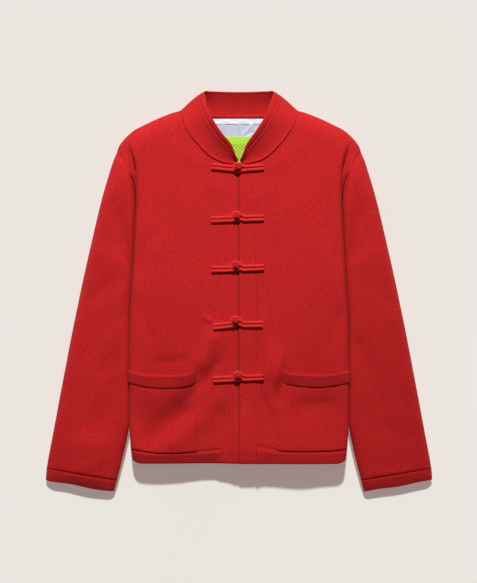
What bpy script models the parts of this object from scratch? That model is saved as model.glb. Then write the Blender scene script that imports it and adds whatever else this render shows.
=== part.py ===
"""Tang jacket in fine red knit, laid out flat with a light fill.

Two fronts, a back and two sleeves are joined at the shoulder, side and armhole
seams, with knitted bands at hem, cuffs and pocket mouths, a standing collar and
five frogs.  The back lies on the floor, z = 0.  +Y points to the collar and +X to
the wearer's left.  Lengths below are millimetres, and MM turns them into metres.
"""

import math
from bisect import bisect_right

import bmesh
import bpy
import numpy as np
from mathutils import Vector
from mathutils.bvhtree import BVHTree

MM = 0.001

# ---- Driving dimensions ----------------------------------------------------
CLOTH = 2.0            # wall of the knit
BAND_PROUD = 0.8       # how far a knitted band stands above its panel
SEAM_GAP = 0.4         # between two pieces at a seam
LAY_GAP = 0.3          # between a piece and what it lies on
CORD_GAP = 0.8         # between a round cord and the cloth's facets

HEM_Y = -300.0         # lower edge of the hem
BAND_Y = -278.0        # seam of the hem band
UNDERARM_Y = 51.0      # where side seam and armhole meet
CAP_Y = 208.0          # armhole height level with the foot of the neckline
SHOULDER_Y = 245.0     # shoulder point
THROAT_Y = 219.0       # foot of the neckline, at the centre front
BACK_NECK_Y = 305.0    # back neck seam at the centre

SIDE_ROLL = 16.0       # width of the rounded side of the body
SIDE_WIDTH = 190.0     # nominal half width, turns the roll into a share
SIDE_SHARE = SIDE_ROLL / SIDE_WIDTH
SHOULDER_ROLL = 34.0   # width of the slope down to the shoulder seam
YOKE_SHARE = 0.23      # share of the yoke rows that lies on that slope
SHOULDER_Z = 12.8      # height of the shoulder seam
SIDE_Z = 22.8          # height of the side seam
CAP_OPENS = (185.0, 232.0)  # between these the armhole crease flattens out

LAP = 2.5              # how far the left front is lifted by the right front
UNDERLAP = 17.0        # how far the right front runs under the left one
FACING = 30.0          # width of the plain strip along each front edge

# Height of the laid body's front by distance from hem to shoulder.
CROWN = (  # y, z
    (-300.0, 41.0), (-289.0, 46.5), (-278.0, 49.0), (-250.0, 47.5),
    (-205.0, 44.0), (-150.0, 43.0), (-60.0, 44.5), (60.0, 45.5),
    (200.0, 44.5), (250.0, 42.0), (320.0, 39.0),
)

# Half width of the body: side seam up to the underarm, armhole above it.
SIDE = (  # y, x
    (-300.0, 186.0), (-287.0, 187.5), (-260.0, 190.0), (-235.0, 191.5),
    (-150.0, 192.0), (-51.0, 191.0), (-16.0, 189.0), (51.0, 185.0),
    (107.0, 182.0), (150.0, 180.5), (173.0, 182.0), (194.0, 186.0),
    (208.0, 191.0), (227.0, 201.0), (245.0, 213.5),
)

NECKLINE = (  # x, y: front neck seam, throat to neck point
    (0.0, 219.0), (17.0, 221.5), (35.0, 226.0), (53.0, 236.5),
    (73.5, 257.0), (90.0, 279.0), (99.0, 298.0), (103.5, 316.0),
)
SHOULDER = (  # x, y: shoulder seam, neck point to shoulder point
    (103.5, 316.0), (119.0, 311.5), (145.0, 301.0), (167.0, 290.5),
    (184.0, 281.5), (199.5, 268.0), (210.0, 254.5), (213.5, 245.0),
)
BACK_NECK = (  # x, y: back neck seam, centre to neck point
    (0.0, 305.0), (35.0, 305.5), (60.0, 308.0), (85.0, 312.0), (103.5, 316.0),
)

NECK_SHARE = 0.4376    # share of the back's top edge that is neckline

# Largest folds of the fronts: soft ridges (height > 0) and troughs (height < 0).
FOLDS = (  # x0, y0, x1, y1, height, width
    (-47.0, -68.0, -77.0, -138.0, 3.5, 15.0),
    (-44.0, -103.0, -70.0, -132.0, -3.0, 15.0),
    (-50.0, -172.0, -122.0, -242.0, 3.5, 26.0),
    (47.0, -52.0, 71.0, -125.0, 3.5, 15.0),
    (42.0, -172.0, 50.0, -205.0, 2.5, 15.0),
)

# Sleeve: outline from the shoulder point down the outside of the arm.
SLEEVE_OUTER = (  # y, x
    (-331.0, 339.5), (-306.0, 336.0), (-250.0, 324.5), (-138.0, 303.5),
    (-26.0, 282.0), (86.0, 257.0), (142.0, 244.5), (170.0, 238.0),
    (198.0, 230.0), (226.0, 221.5), (245.0, 214.2),
)
# Inner edge below the place where the sleeve parts from the body.
SLEEVE_INNER = (  # y, x
    (-352.0, 219.0), (-334.0, 214.5), (-306.0, 207.3), (-278.0, 200.5),
    (-255.0, 196.0), (-235.0, 192.6),
)
PART_Y = -235.0        # the sleeve leaves the body's side here
SLEEVE_OUTER_END = -331.0
SLEEVE_INNER_END = -352.0
ARM_CROWN = (  # y of the outer edge, z of the top, z of the outer fold
    (-331.0, 17.0, 8.0), (-321.0, 23.0, 11.0), (-311.0, 26.5, 13.0),
    (-290.0, 28.0, 14.0), (-200.0, 31.5, 15.5), (-60.0, 35.0, 17.0),
    (80.0, 36.0, 18.0), (170.0, 35.0, 17.0), (215.0, 32.0, 15.0),
    (245.0, 28.0, 12.8),
)
INNER_FOLD_Z = (  # y of the inner edge, z of the fold
    (-352.0, 8.0), (-330.0, 13.0), (-300.0, 15.0), (-235.0, 20.0),
    (-180.0, 22.6), (51.0, 22.8), (120.0, 22.0), (245.0, 22.0),
)
BACK_ARMHOLE_Z = (  # y, z of the armhole seam on the underside
    (51.0, 22.4), (66.0, 11.0), (80.0, 3.5), (95.0, 0.0), (245.0, 0.0),
)
FAN = 0.3              # share of the rings that turn from armhole to arm
ARM_ROLL_IN = 12.0     # width of the sleeve's rounded edges
ARM_ROLL_OUT = 16.0
CUFF_SHARE = 0.9485    # share of the arm rings where the cuff band starts
TUCK = 27.0            # how far the sleeve runs under the body
TUCK_FOLD = 2.9        # bulge of the fold at its edge
TUCK_GAP = 0.8         # between the tucked sleeve and the body
TUCK_START, TUCK_END = 35.0, -200.0  # y between which the sleeve is tucked
TUCK_LIFT = 6.5        # how far it lifts the body there
LIFT_SIDE = (34.0, 62.0)     # distance from the side over which the lift fades
LIFT_FOOT = (-252.0, -226.0)
LIFT_TOP = (51.0, 95.0)

# Collar band, neck seam to free edge, front end first.
COLLAR = (  # part of the neck seam (0-1 front, 1-2 back), x, y, z of the edge
    (0.02, 3.4, 227.0, 51.0), (0.13, 8.0, 240.0, 54.5),
    (0.27, 13.5, 254.5, 57.0), (0.40, 25.0, 270.5, 58.0),
    (0.56, 38.0, 290.0, 56.0), (0.74, 47.0, 307.0, 50.0),
    (0.88, 54.0, 328.0, 36.5), (1.00, 60.0, 348.5, 20.0),
    (1.16, 51.0, 350.5, 12.0), (1.50, 29.0, 350.0, 9.0),
    (2.00, 0.0, 349.5, 8.5),
)
COLLAR_WALL = 2.4
COLLAR_BOW = 3.0       # hollow of the band between seam and edge
COLLAR_GAP = (0.7, 1.6)      # between it and the fronts, and it and the back
COLLAR_FOOT = 0.6      # height of its seam at the centre back
COLLAR_RISE = 70.0     # x from which that seam climbs to the neck point

# Patch pockets.
POCKET_SIDE = 0.983    # share of the front's width at the outer edge
POCKET = {  # side: inner edge at mouth, inner edge at hem, sag of the mouth
    -1: (0.385, 0.385, 11.0),
    1: (0.385, 0.35, 9.0),
}
MOUTH_Y = -136.5
MOUTH_BAND = 22.0
MOUTH_GAPE = 4.0
POCKET_LIE = 0.9       # clear of the front's facets
POCKET_MID = 131.0
POCKET_HALF = 58.0

# Neck lining, tape and label, all lying on the back.
LINING_TOP, LINING_SHOULDER, LINING_FOOT = 303.0, 268.0, 190.0
LINING_NECK, LINING_WIDE = 62.0, 98.0
LINING_WALL = 0.8
TAPE_DEEP = 9.0
LABEL_X, LABEL_WIDE, LABEL_TOP, LABEL_DEEP = 1.0, 54.0, 271.5, 60.0

# Frogs: outer end of the button cords, knot, outer end of the loop cords.
FROGS = (  # left x, left y, knot x, knot y, right x, right y
    (-47.3, 217.5, -1.8, 212.5, 43.8, 215.0),
    (-48.0, 123.4, -5.3, 128.0, 43.8, 126.0),
    (-48.0, 37.0, -6.5, 42.3, 43.8, 42.0),
    (-44.6, -62.0, -6.8, -52.2, 41.0, -55.7),
    (-43.8, -153.0, -4.2, -147.2, 41.7, -148.8),
)
CORD = 5.5             # diameter of the frog cord
CORD_PITCH = 6.1       # between the two cords of a frog
KNOT_R, KNOT_RISE = 8.0, 7.4
KNOT_Z = 8.9           # centre of the knot above the front
KNOT_SINK = 3.5        # how far beside and below its centre the cords enter it
LOOP_R = 11.1          # loop's centre line round the knot
LOOP_OVER = 10.4       # loop's height where it crosses the button cords

RED = (0.46, 0.018, 0.021, 1.0)
DEEP_RED = (0.34, 0.013, 0.016, 1.0)
SILVER = (0.48, 0.49, 0.55, 1.0)
WHITE = (0.86, 0.88, 0.90, 1.0)
LIME = (0.40, 0.78, 0.05, 1.0)


# ---- Curves and shares -----------------------------------------------------
def smoothstep(low, high, value):
    share = min(max((value - low) / (high - low), 0.0), 1.0)
    return share * share * (3.0 - 2.0 * share)


def roll(share):
    """Height share of a rounded edge, 0 at the rim and 1 past the roll."""
    share = min(max(share, 0.0), 1.0)
    return math.sqrt(max(0.0, 1.0 - (1.0 - share) ** 2))


def lookup(table, key):
    """Columns of a table at a key in its first column, on a smooth curve."""
    keys = [row[0] for row in table]
    values = np.array([row[1:] for row in table], dtype=float)
    key = min(max(key, keys[0]), keys[-1])
    low = min(max(bisect_right(keys, key) - 1, 0), len(keys) - 2)

    def slope(row):
        before, after = max(row - 1, 0), min(row + 1, len(keys) - 1)
        return (values[after] - values[before]) / (keys[after] - keys[before])

    step = keys[low + 1] - keys[low]
    t = (key - keys[low]) / step
    return (
        (2 * t**3 - 3 * t**2 + 1) * values[low]
        + (t**3 - 2 * t**2 + t) * step * slope(low)
        + (3 * t**2 - 2 * t**3) * values[low + 1]
        + (t**3 - t**2) * step * slope(low + 1)
    )


def along(points, share):
    """Point at a share of the length of a smooth curve through the points."""
    points = np.array(points, dtype=float)
    steps = np.linalg.norm(np.diff(points, axis=0), axis=1)
    run = np.concatenate([[0.0], np.cumsum(steps)])
    table = [(at, *point) for at, point in zip(run, points)]
    return lookup(table, share * run[-1])


SILHOUETTE = np.array(
    [along(SHOULDER, share / 12.0) for share in range(13)]
    + [(x, y) for y, x in reversed(SLEEVE_OUTER[:-1])]
)


# ---- Body ------------------------------------------------------------------
def side_x(y):
    return lookup(SIDE, y)[0]


def outer_edge(v):
    """Side seam and armhole: v 0-1 hem to underarm, 1-2 to cap, 2-3 shoulder."""
    if v <= 1.0:
        y = HEM_Y + (UNDERARM_Y - HEM_Y) * v
    elif v <= 2.0:
        y = UNDERARM_Y + (CAP_Y - UNDERARM_Y) * (v - 1.0)
    else:
        y = CAP_Y + (SHOULDER_Y - CAP_Y) * (v - 2.0)
    return np.array([side_x(y), y])


def centre_y(v, top):
    """Height on the centre line, for a panel whose centre line ends at top."""
    if v <= 1.0:
        return HEM_Y + (UNDERARM_Y - HEM_Y) * v
    if v <= 2.0:
        return UNDERARM_Y + (THROAT_Y - UNDERARM_Y) * (v - 1.0)
    return THROAT_Y + (top - THROAT_Y) * (v - 2.0)


def row_of(y):
    """Row value of a level line below the underarm."""
    return (y - HEM_Y) / (UNDERARM_Y - HEM_Y)


def rounded_corner(u, v):
    """Rise of the hem towards the side, where its corner is rounded."""
    return 11.0 * max(0.0, (u - 0.9) / 0.1) ** 2 * (1.0 - smoothstep(0.0, 0.1, v))


def folds(x, y):
    total = 0.0
    for x0, y0, x1, y1, height, width in FOLDS:
        run_x, run_y = x1 - x0, y1 - y0
        share = ((x - x0) * run_x + (y - y0) * run_y) / (run_x**2 + run_y**2)
        share = min(max(share, 0.0), 1.0)
        away = math.hypot(x - x0 - share * run_x, y - y0 - share * run_y)
        total += height * math.exp(-((away / width) ** 2))
    return total


def from_silhouette(x, y):
    """Plan distance from the shoulder line and the outside of the arm."""
    start, end = SILHOUETTE[:-1], SILHOUETTE[1:]
    run = end - start
    away = np.array([x, y]) - start
    share = np.clip((away * run).sum(axis=1) / (run * run).sum(axis=1), 0.0, 1.0)
    return np.linalg.norm(away - share[:, None] * run, axis=1).min()


def crown_z(x, y, side):
    """Height of the front where no edge pulls it down."""
    z = lookup(CROWN, y)[0] + folds(side * x, y)
    if side > 0:
        z += LAP * (1.0 - smoothstep(20.0, 38.0, x))
    return z


def free_z(x, y, crown, rim, width):
    """Height that falls from the crown to a rim at the silhouette."""
    return rim + (crown - rim) * roll(from_silhouette(x, y) / width)


def front_plan(u, v):
    outer = outer_edge(v)
    if v <= 2.0:
        inner = np.array([0.0, centre_y(v, THROAT_Y)])
        plan = inner + u * (outer - inner)
    else:
        inner = along(NECKLINE, v - 2.0)
        plan = inner + u * (outer - inner)
        chord = np.array(SHOULDER[0]) * (1.0 - u) + np.array(SHOULDER[-1]) * u
        plan += smoothstep(2.0, 3.0, v) * (along(SHOULDER, u) - chord)
    plan[1] += rounded_corner(u, v)
    return plan


def front(u, v, side):
    """Outer point of a front: u 0 centre to 1 side, side -1 right, 1 left."""
    x, y = front_plan(u, v)
    free = crown_z(x, y, side)
    rim = SIDE_Z + SEAM_GAP / 2
    if v > 1.0:
        free = free_z(x, y, free, SHOULDER_Z + SEAM_GAP / 2, SHOULDER_ROLL)
        rim += (free - rim) * smoothstep(*CAP_OPENS, outer_edge(v)[1])
    if v == 3.0:
        return Vector((side * x, y, SHOULDER_Z + SEAM_GAP / 2))
    return Vector((side * x, y, rim + (free - rim) * roll((1.0 - u) / SIDE_SHARE)))


def back(u, v):
    """Outer point of the back's left half: u 0 centre to 1 side."""
    outer = outer_edge(v)
    inner = np.array([0.0, centre_y(v, BACK_NECK_Y)])
    plan = inner + u * (outer - inner)
    if v > 1.6:
        top = along(BACK_NECK + SHOULDER[1:], u)
        chord = np.array(BACK_NECK[0]) * (1.0 - u) + np.array(SHOULDER[-1]) * u
        plan += smoothstep(1.6, 3.0, v) * (top - chord)
    plan[1] += rounded_corner(u, v)
    x, y = plan
    from_side = (1.0 - u) * SIDE_WIDTH
    lift = TUCK_LIFT * (1.0 - smoothstep(*LIFT_SIDE, from_side))
    lift *= smoothstep(*LIFT_FOOT, y) * (1.0 - smoothstep(*LIFT_TOP, y))
    rim = lookup(BACK_ARMHOLE_Z, outer[1])[0] if v > 1.0 else SIDE_Z - SEAM_GAP / 2
    edge = 1.0 - roll((1.0 - u) / SIDE_SHARE)
    bevel = max(0.0, 1.0 - (1.0 - u) / SIDE_SHARE) ** 2
    edge += (bevel - edge) * smoothstep(1.0, 1.1, v)
    z = lift + (rim - lift) * edge
    if v > 1.6:
        shoulder = SHOULDER_Z - SEAM_GAP / 2
        near = 0.0 if v == 3.0 and u >= NECK_SHARE else from_silhouette(x, y)
        z += shoulder * (1.0 - roll(near / SHOULDER_ROLL))
    return Vector((x, y, max(z, 0.0)))


def moved_out(surface, u, v, distance):
    """Point of a front's surface moved out along its upward normal."""
    step = 0.002
    across = surface(u + step, v) - surface(u - step, v)
    upward = surface(u, v + step) - surface(u, v - step)
    normal = across.cross(upward).normalized()
    if normal.z < 0.0:
        normal.negate()
    return surface(u, v) + normal * distance


# ---- Sleeve ----------------------------------------------------------------
def sleeve_inner_x(y):
    if y >= PART_Y:
        return side_x(y) + 0.7
    return lookup(SLEEVE_INNER, y)[0]


def ring_ends(s):
    """Inner and outer end of a sleeve ring: s 0 armhole, 1 cuff edge."""
    turn = min(s / FAN, 1.0)
    run = max(0.0, (s - FAN) / (1.0 - FAN))
    inner_y = UNDERARM_Y - 11.0 * turn
    inner_y += (SLEEVE_INNER_END - UNDERARM_Y + 11.0) * run
    outer_y = SHOULDER_Y - 180.0 * turn
    outer_y += (SLEEVE_OUTER_END - SHOULDER_Y + 180.0) * run
    inner = np.array([sleeve_inner_x(inner_y), inner_y])
    outer = np.array([lookup(SLEEVE_OUTER, outer_y)[0], outer_y])
    return inner, outer, turn


def ring_plan(q, s):
    """Plan point of a ring at share q from its inner to its outer end."""
    inner, outer, turn = ring_ends(s)
    plan = inner + q * (outer - inner)
    if turn < 1.0:
        armhole_y = UNDERARM_Y + (SHOULDER_Y - UNDERARM_Y) * q
        armhole = np.array([sleeve_inner_x(armhole_y), armhole_y])
        first, last, _ = ring_ends(0.0)
        plan += (armhole - first - q * (last - first)) * (1.0 - turn) ** 1.5
    return plan, outer[1], turn


def armhole_row(y):
    """Row value of a front or back whose outer edge lies at y."""
    if y <= CAP_Y:
        return 1.0 + (y - UNDERARM_Y) / (CAP_Y - UNDERARM_Y)
    return 2.0 + (y - CAP_Y) / (SHOULDER_Y - CAP_Y)


def sleeve_point(q, s, under):
    """Outer point of a sleeve ring, on its upper or its under side."""
    (x, y), level, turn = ring_plan(q, s)
    if turn == 0.0:
        row = armhole_row(y)
        edge = back(1.0, row) if under else front(1.0, row, 1)
        return Vector((x, y, edge.z))
    top, outer_fold = lookup(ARM_CROWN, level)
    away = smoothstep(0.0, 0.5, turn)
    if under:
        inner_rim = lookup(BACK_ARMHOLE_Z, y)[0]
        if y <= UNDERARM_Y:
            inner_rim = lookup(INNER_FOLD_Z, y)[0]
        near = min(max(1.0 - (x - sleeve_inner_x(y)) / ARM_ROLL_IN, 0.0), 1.0)
        edge = near**2
        edge += (1.0 - roll(1.0 - near) - edge) * smoothstep(0.8, 1.0, turn)
        width = SHOULDER_ROLL + (ARM_ROLL_OUT - SHOULDER_ROLL) * away
        rim = SHOULDER_Z + (outer_fold - SHOULDER_Z) * away
        z = rim * (1.0 - roll(from_silhouette(x, y) / width))
        return Vector((x, y, max(z, inner_rim * edge)))
    top += (36.0 - top) * (1.0 - smoothstep(0.7, 1.0, turn))
    crown = crown_z(x, y, 1)
    top = crown + (top - crown) * away
    rim = SHOULDER_Z + (outer_fold - SHOULDER_Z) * away
    width = SHOULDER_ROLL + (ARM_ROLL_OUT - SHOULDER_ROLL) * away
    free = free_z(x, y, top, rim, width)
    inner_rim = lookup(INNER_FOLD_Z, y)[0]
    low = inner_rim + (free - inner_rim) * smoothstep(*CAP_OPENS, y)
    z = low + (free - low) * roll((x - sleeve_inner_x(y)) / ARM_ROLL_IN)
    return Vector((x, y, z))


# Ring points fall on the rows of the fronts and the back along the armhole.
TOP_SHARES = (0.0, 0.01, 0.04, 0.1, 0.219, 0.428, 0.623, 0.809, 0.86, 0.91,
              0.956, 0.986, 1.0)
UNDER_SHARES = (0.986, 0.956, 0.91, 0.809, 0.6, 0.4)
EDGE_SHARES = (0.25, 0.2, 0.15, 0.1, 0.06, 0.03, 0.01)


def tucked_edge(y):
    """Seven points of the sleeve's edge that lies under the body, foot first."""
    x, thick = side_x(y), TUCK_LIFT - TUCK_GAP
    yield Vector((x - TUCK / 3, y, 0.0))
    yield Vector((x - TUCK, y, 0.0))
    yield Vector((x - TUCK - TUCK_FOLD, y, thick / 2))
    yield Vector((x - TUCK, y, thick))
    for degrees in (90.0, 50.0, 22.0):
        angle = math.radians(degrees)
        drop = SIDE_Z - SEAM_GAP / 2 - TUCK_LIFT
        away = SIDE_ROLL * (1.0 - math.cos(angle))
        z = TUCK_LIFT + drop * (1.0 - math.sin(angle))
        normal = Vector((math.cos(angle) * drop, math.sin(angle) * SIDE_ROLL))
        normal *= TUCK_GAP / normal.length
        yield Vector((x - away + normal.x, y, z - normal.y))


def sleeve_ring(s):
    points = [sleeve_point(q, s, False) for q in TOP_SHARES]
    points += [sleeve_point(q, s, True) for q in UNDER_SHARES]
    inner, _, turn = ring_ends(s)
    if turn >= 1.0 and TUCK_END < inner[1] < TUCK_START:
        return points + list(tucked_edge(inner[1]))
    return points + [sleeve_point(q, s, True) for q in EDGE_SHARES]


# ---- Blender objects -------------------------------------------------------
def collection(name):
    group = bpy.data.collections.new(name)
    bpy.context.scene.collection.children.link(group)
    return group


def material(name, colour, roughness):
    finish = bpy.data.materials.new(name)
    finish.use_nodes = True
    shader = finish.node_tree.nodes["Principled BSDF"]
    shader.inputs["Base Color"].default_value = colour
    shader.inputs["Roughness"].default_value = roughness
    shader.inputs["Metallic"].default_value = 0.0
    finish.diffuse_color = colour
    return finish


def grid_mesh(name, rows, ring=False, flip=False, keep=None):
    """Mesh of quads on rows of points in mm; keep(i, j) picks its cells."""
    build = bmesh.new()
    grid = [[build.verts.new(point * MM) for point in row] for row in rows]
    columns = len(rows[0]) if ring else len(rows[0]) - 1
    for i in range(len(rows) - 1):
        for j in range(columns):
            if keep and not keep(i, j):
                continue
            k = (j + 1) % len(rows[0])
            corners = [grid[i][j], grid[i][k], grid[i + 1][k], grid[i + 1][j]]
            build.faces.new(corners[::-1] if flip else corners)
    loose = [vertex for vertex in build.verts if not vertex.link_faces]
    bmesh.ops.delete(build, geom=loose, context="VERTS")
    mesh = bpy.data.meshes.new(name)
    build.to_mesh(mesh)
    build.free()
    return mesh


def cloth(name, mesh, finish, wall=CLOTH, proud=0.0, mirror=False):
    """Cloth wall: the mesh is its outer face, or lies proud below it."""
    piece = bpy.data.objects.new(name, mesh)
    jacket.objects.link(piece)
    mesh.materials.append(finish)
    if mirror:
        half = piece.modifiers.new("Other half", "MIRROR")
        half.merge_threshold = 0.0001
    solid = piece.modifiers.new("Wall", "SOLIDIFY")
    solid.thickness = wall * MM
    solid.offset = 2.0 * proud / wall - 1.0
    mesh.shade_smooth()
    return piece


def outer_tree(mesh):
    """Search tree of a cloth's outer face, in mm."""
    return BVHTree.FromPolygons(
        [vertex.co / MM for vertex in mesh.vertices],
        [tuple(face.vertices) for face in mesh.polygons],
    )


def spaced(low, high, count):
    return [low + (high - low) * k / (count - 1) for k in range(count)]


def cord_curve(name, points, finish, group, count):
    """Cord along a smooth curve through points in mm."""
    curve = bpy.data.curves.new(name, "CURVE")
    curve.dimensions = "3D"
    curve.bevel_depth = CORD / 2 * MM
    curve.bevel_resolution = 2
    curve.use_fill_caps = True
    line = curve.splines.new("POLY")
    line.points.add(count - 1)
    for point, share in zip(line.points, spaced(0.0, 1.0, count)):
        point.co = (*(along(points, share) * MM), 1.0)
    curve.materials.append(finish)
    cord = bpy.data.objects.new(name, curve)
    group.objects.link(cord)
    return cord


# ---- Panels ----------------------------------------------------------------
ROLL_STEPS = (90.0, 58.0, 30.0, 12.0)
ROLL_COLUMNS = tuple(
    1.0 - SIDE_SHARE * (1.0 - math.cos(math.radians(degrees)))
    for degrees in ROLL_STEPS + (0.0,)
)
FACING_SHARE = FACING / SIDE_WIDTH
FLAT_COLUMNS = (0.0, 0.08, FACING_SHARE, 0.26, 0.385, 0.48, 0.6, 0.71, 0.8, 0.865)
FRONT_COLUMNS = FLAT_COLUMNS + ROLL_COLUMNS
BACK_COLUMNS = (0.0, 0.16, 0.32, NECK_SHARE, 0.56, 0.66, 0.74, 0.82) + ROLL_COLUMNS

YOKE_STEPS = tuple(
    3.0 - YOKE_SHARE * (1.0 - math.cos(math.radians(degrees)))
    for degrees in ROLL_STEPS + (0.0,)
)
SEAM_ROW = row_of(BAND_Y + SEAM_GAP)
NECK_ROWS = (2.0, 2.13, 2.27, 2.4, 2.53, 2.66) + YOKE_STEPS
FRONT_ROWS = (
    (0.0, row_of(-289.0), SEAM_ROW)
    + tuple(row_of(y) for y in (-275.0, -255.0, -225.0, -195.0, -177.0, -158.9, -136.5))
    + tuple(row_of(y) for y in (-105.0, -65.0, -25.0, 12.0, UNDERARM_Y))
    + (1.13, 1.27, 1.53, 1.77) + NECK_ROWS
)
TOP_ROW = 2.66           # row where the back is cut, above the chest
TOP_GAP = 0.009
BACK_ROWS = (
    (SEAM_ROW,)
    + tuple(row_of(y) for y in (-252.0, -226.0, -160.0, -90.0, -20.0, 30.0, UNDERARM_Y))
    + (1.13, 1.27, 1.53, 1.77, 2.0, 2.27, 2.53, TOP_ROW - TOP_GAP)
)
BACK_TOP_ROWS = (TOP_ROW,) + YOKE_STEPS
BAND_ROWS = (0.0, row_of(-289.0), row_of(BAND_Y - 2.0), row_of(BAND_Y))


def straight_edges(rows, values):
    """Rows that stand straight on the point before at side and shoulder seam."""
    for v, row in zip(values, rows):
        if v <= 1.0:
            row[-1].xy = row[-2].xy
    if values[-1] == 3.0:
        for last, before in zip(rows[-1], rows[-2]):
            if abs(last.z - before.z) > CLOTH / 4:
                last.xy = before.xy
    return rows


def make_front(name, side, finish):
    """One front, with its facing strip running down past the hem band."""
    def underlap(v):
        return 0.0 if side > 0 else UNDERLAP / SIDE_WIDTH * (1 - smoothstep(1.7, 2.0, v))

    rows = []
    for v in FRONT_ROWS:
        row = [front(u, v, side) for u in FRONT_COLUMNS]
        row[0] = front(-underlap(v), v, side)
        rows.append(row)
    straight_edges(rows, FRONT_ROWS)
    last_strip = FRONT_COLUMNS.index(FACING_SHARE)
    seam = FRONT_ROWS.index(SEAM_ROW)
    mesh = grid_mesh(name, rows, flip=side < 0,
                     keep=lambda i, j: i >= seam or j < last_strip)
    cloth(name, mesh, finish)
    return outer_tree(mesh)


def make_hem_band(name, side, finish):
    start = FACING_SHARE + SEAM_GAP / SIDE_WIDTH
    columns = (start,) + FRONT_COLUMNS[FRONT_COLUMNS.index(FACING_SHARE) + 1:]
    rows = [[front(u, v, side) for u in columns] for v in BAND_ROWS]
    straight_edges(rows, BAND_ROWS)
    cloth(name, grid_mesh(name, rows, flip=side < 0), finish,
          wall=CLOTH + BAND_PROUD, proud=BAND_PROUD)


def make_back(finish, band_finish):
    """The back, its top stretch above the chest, and its hem band."""
    for name, values, skin in (
            ("back", BACK_ROWS, finish), ("back_top", BACK_TOP_ROWS, finish),
            ("hem_back", (0.0, row_of(BAND_Y)), band_finish)):
        rows = [[back(u, v) for u in BACK_COLUMNS] for v in values]
        straight_edges(rows, values)
        cloth(name, grid_mesh(name, rows, flip=True), skin, mirror=True)


def make_sleeve(side, name, cuff_name, finish, band_finish):
    turns = (0.0, 0.1, 0.25, 0.45, 0.7, 1.0)
    runs = (0.07, 0.15, 0.25, 0.37, 0.49, 0.58, 0.66, 0.76, 0.86, CUFF_SHARE)
    rings = [turn * FAN for turn in turns] + [FAN + (1.0 - FAN) * run for run in runs]
    start = CUFF_SHARE + SEAM_GAP / 395.0
    cuff_rings = [FAN + (1.0 - FAN) * run for run in (start, 0.956, 0.975, 1.0)]
    for label, shares, skin in ((name, rings, finish), (cuff_name, cuff_rings, band_finish)):
        rows = [sleeve_ring(s) for s in shares]
        rows = [[Vector((side * p.x, p.y, p.z)) for p in row] for row in rows]
        cloth(label, grid_mesh(label, rows, ring=True, flip=side > 0), skin)


def make_collar(finish):
    """The band, from one front end round the back neck to the other."""
    parts = (0.02,) + tuple(v - 2.0 for v in NECK_ROWS[1:-2]) + (1.0,)
    parts += (1.08, 1.2, 1.4, 1.65, 2.0)

    def seam_point(part, side):
        curve, share = (NECKLINE, part) if part <= 1.0 else (BACK_NECK, 2.0 - part)
        x, y = along(curve, share)
        step_x, step_y = along(curve, min(share + 0.01, 1.0)) - along(curve, share - 0.01)
        length = math.hypot(step_x, step_y)
        gap = COLLAR_GAP[part > 1.0]
        x -= gap * step_y / length
        y += gap * step_x / length
        if part <= 1.0:
            return Vector((side * x, y, front(0.0, 2.0 + part, side).z))
        rise = smoothstep(COLLAR_RISE, BACK_NECK[-1][0], x) * (SHOULDER_Z - COLLAR_FOOT)
        return Vector((side * x, y, COLLAR_FOOT + rise))

    def half(side):
        rows = []
        for part in parts:
            edge_x, edge_y, edge_z = lookup(COLLAR, part)
            seam, edge = seam_point(part, side), Vector((side * edge_x, edge_y, edge_z))
            row = [seam.lerp(edge, w) for w in (0.0, 0.12, 0.4, 0.7, 1.0)]
            for point, w in zip(row, (0.0, 0.12, 0.4, 0.7, 1.0)):
                point.z -= COLLAR_BOW * math.sin(math.pi * w)
            rows.append(row)
        return rows

    rows = half(-1) + half(1)[-2::-1]
    mesh = grid_mesh("collar", rows)
    cloth("collar", mesh, finish, wall=COLLAR_WALL)
    return outer_tree(mesh)


def make_pocket(side, name, band_name, finish, band_finish):
    mouth_in, hem_in, sag = POCKET[side]
    columns = tuple(u for u in FRONT_COLUMNS if 0.45 < u < 0.97) + (POCKET_SIDE,)

    def point(u, down, out):
        """Point at a depth below the mouth's line, moved out from the front."""
        x = u * SIDE_WIDTH
        dip = sag * max(0.0, 1.0 - ((x - POCKET_MID) / POCKET_HALF) ** 2)
        y = MOUTH_Y - (dip if down <= MOUTH_BAND + 1.0 else 0.0) - down
        return moved_out(lambda a, b: front(a, b, side), u, row_of(y), out)

    def gape(u, down):
        middle = max(0.0, 1.0 - ((u * SIDE_WIDTH - POCKET_MID) / POCKET_HALF) ** 4)
        return POCKET_LIE + MOUTH_GAPE * (1.0 - down / MOUTH_BAND) ** 1.6 * middle

    lower = [BAND_Y + 1.8, -255.0, -225.0, -195.0, -177.0]
    rows = []
    for y in lower:
        share = (y - HEM_Y) / (MOUTH_Y - HEM_Y)
        inner = hem_in + (mouth_in - hem_in) * share
        rows.append([point(u, MOUTH_Y - y, POCKET_LIE) for u in (inner,) + columns])
    all_columns = (mouth_in,) + columns
    rows.append([point(u, MOUTH_BAND + SEAM_GAP, POCKET_LIE) for u in all_columns])
    body = grid_mesh(name, rows, flip=side < 0)
    cloth(name, body, finish, wall=CLOTH, proud=CLOTH)
    rows = [
        [point(u, down, gape(u, down)) for u in all_columns]
        for down in (MOUTH_BAND, MOUTH_BAND - 2.0, 10.0, 0.0)
    ]
    mesh = grid_mesh(band_name, rows, flip=side < 0)
    cloth(band_name, mesh, band_finish, wall=CLOTH + BAND_PROUD / 2,
          proud=CLOTH + BAND_PROUD / 2)


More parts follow.
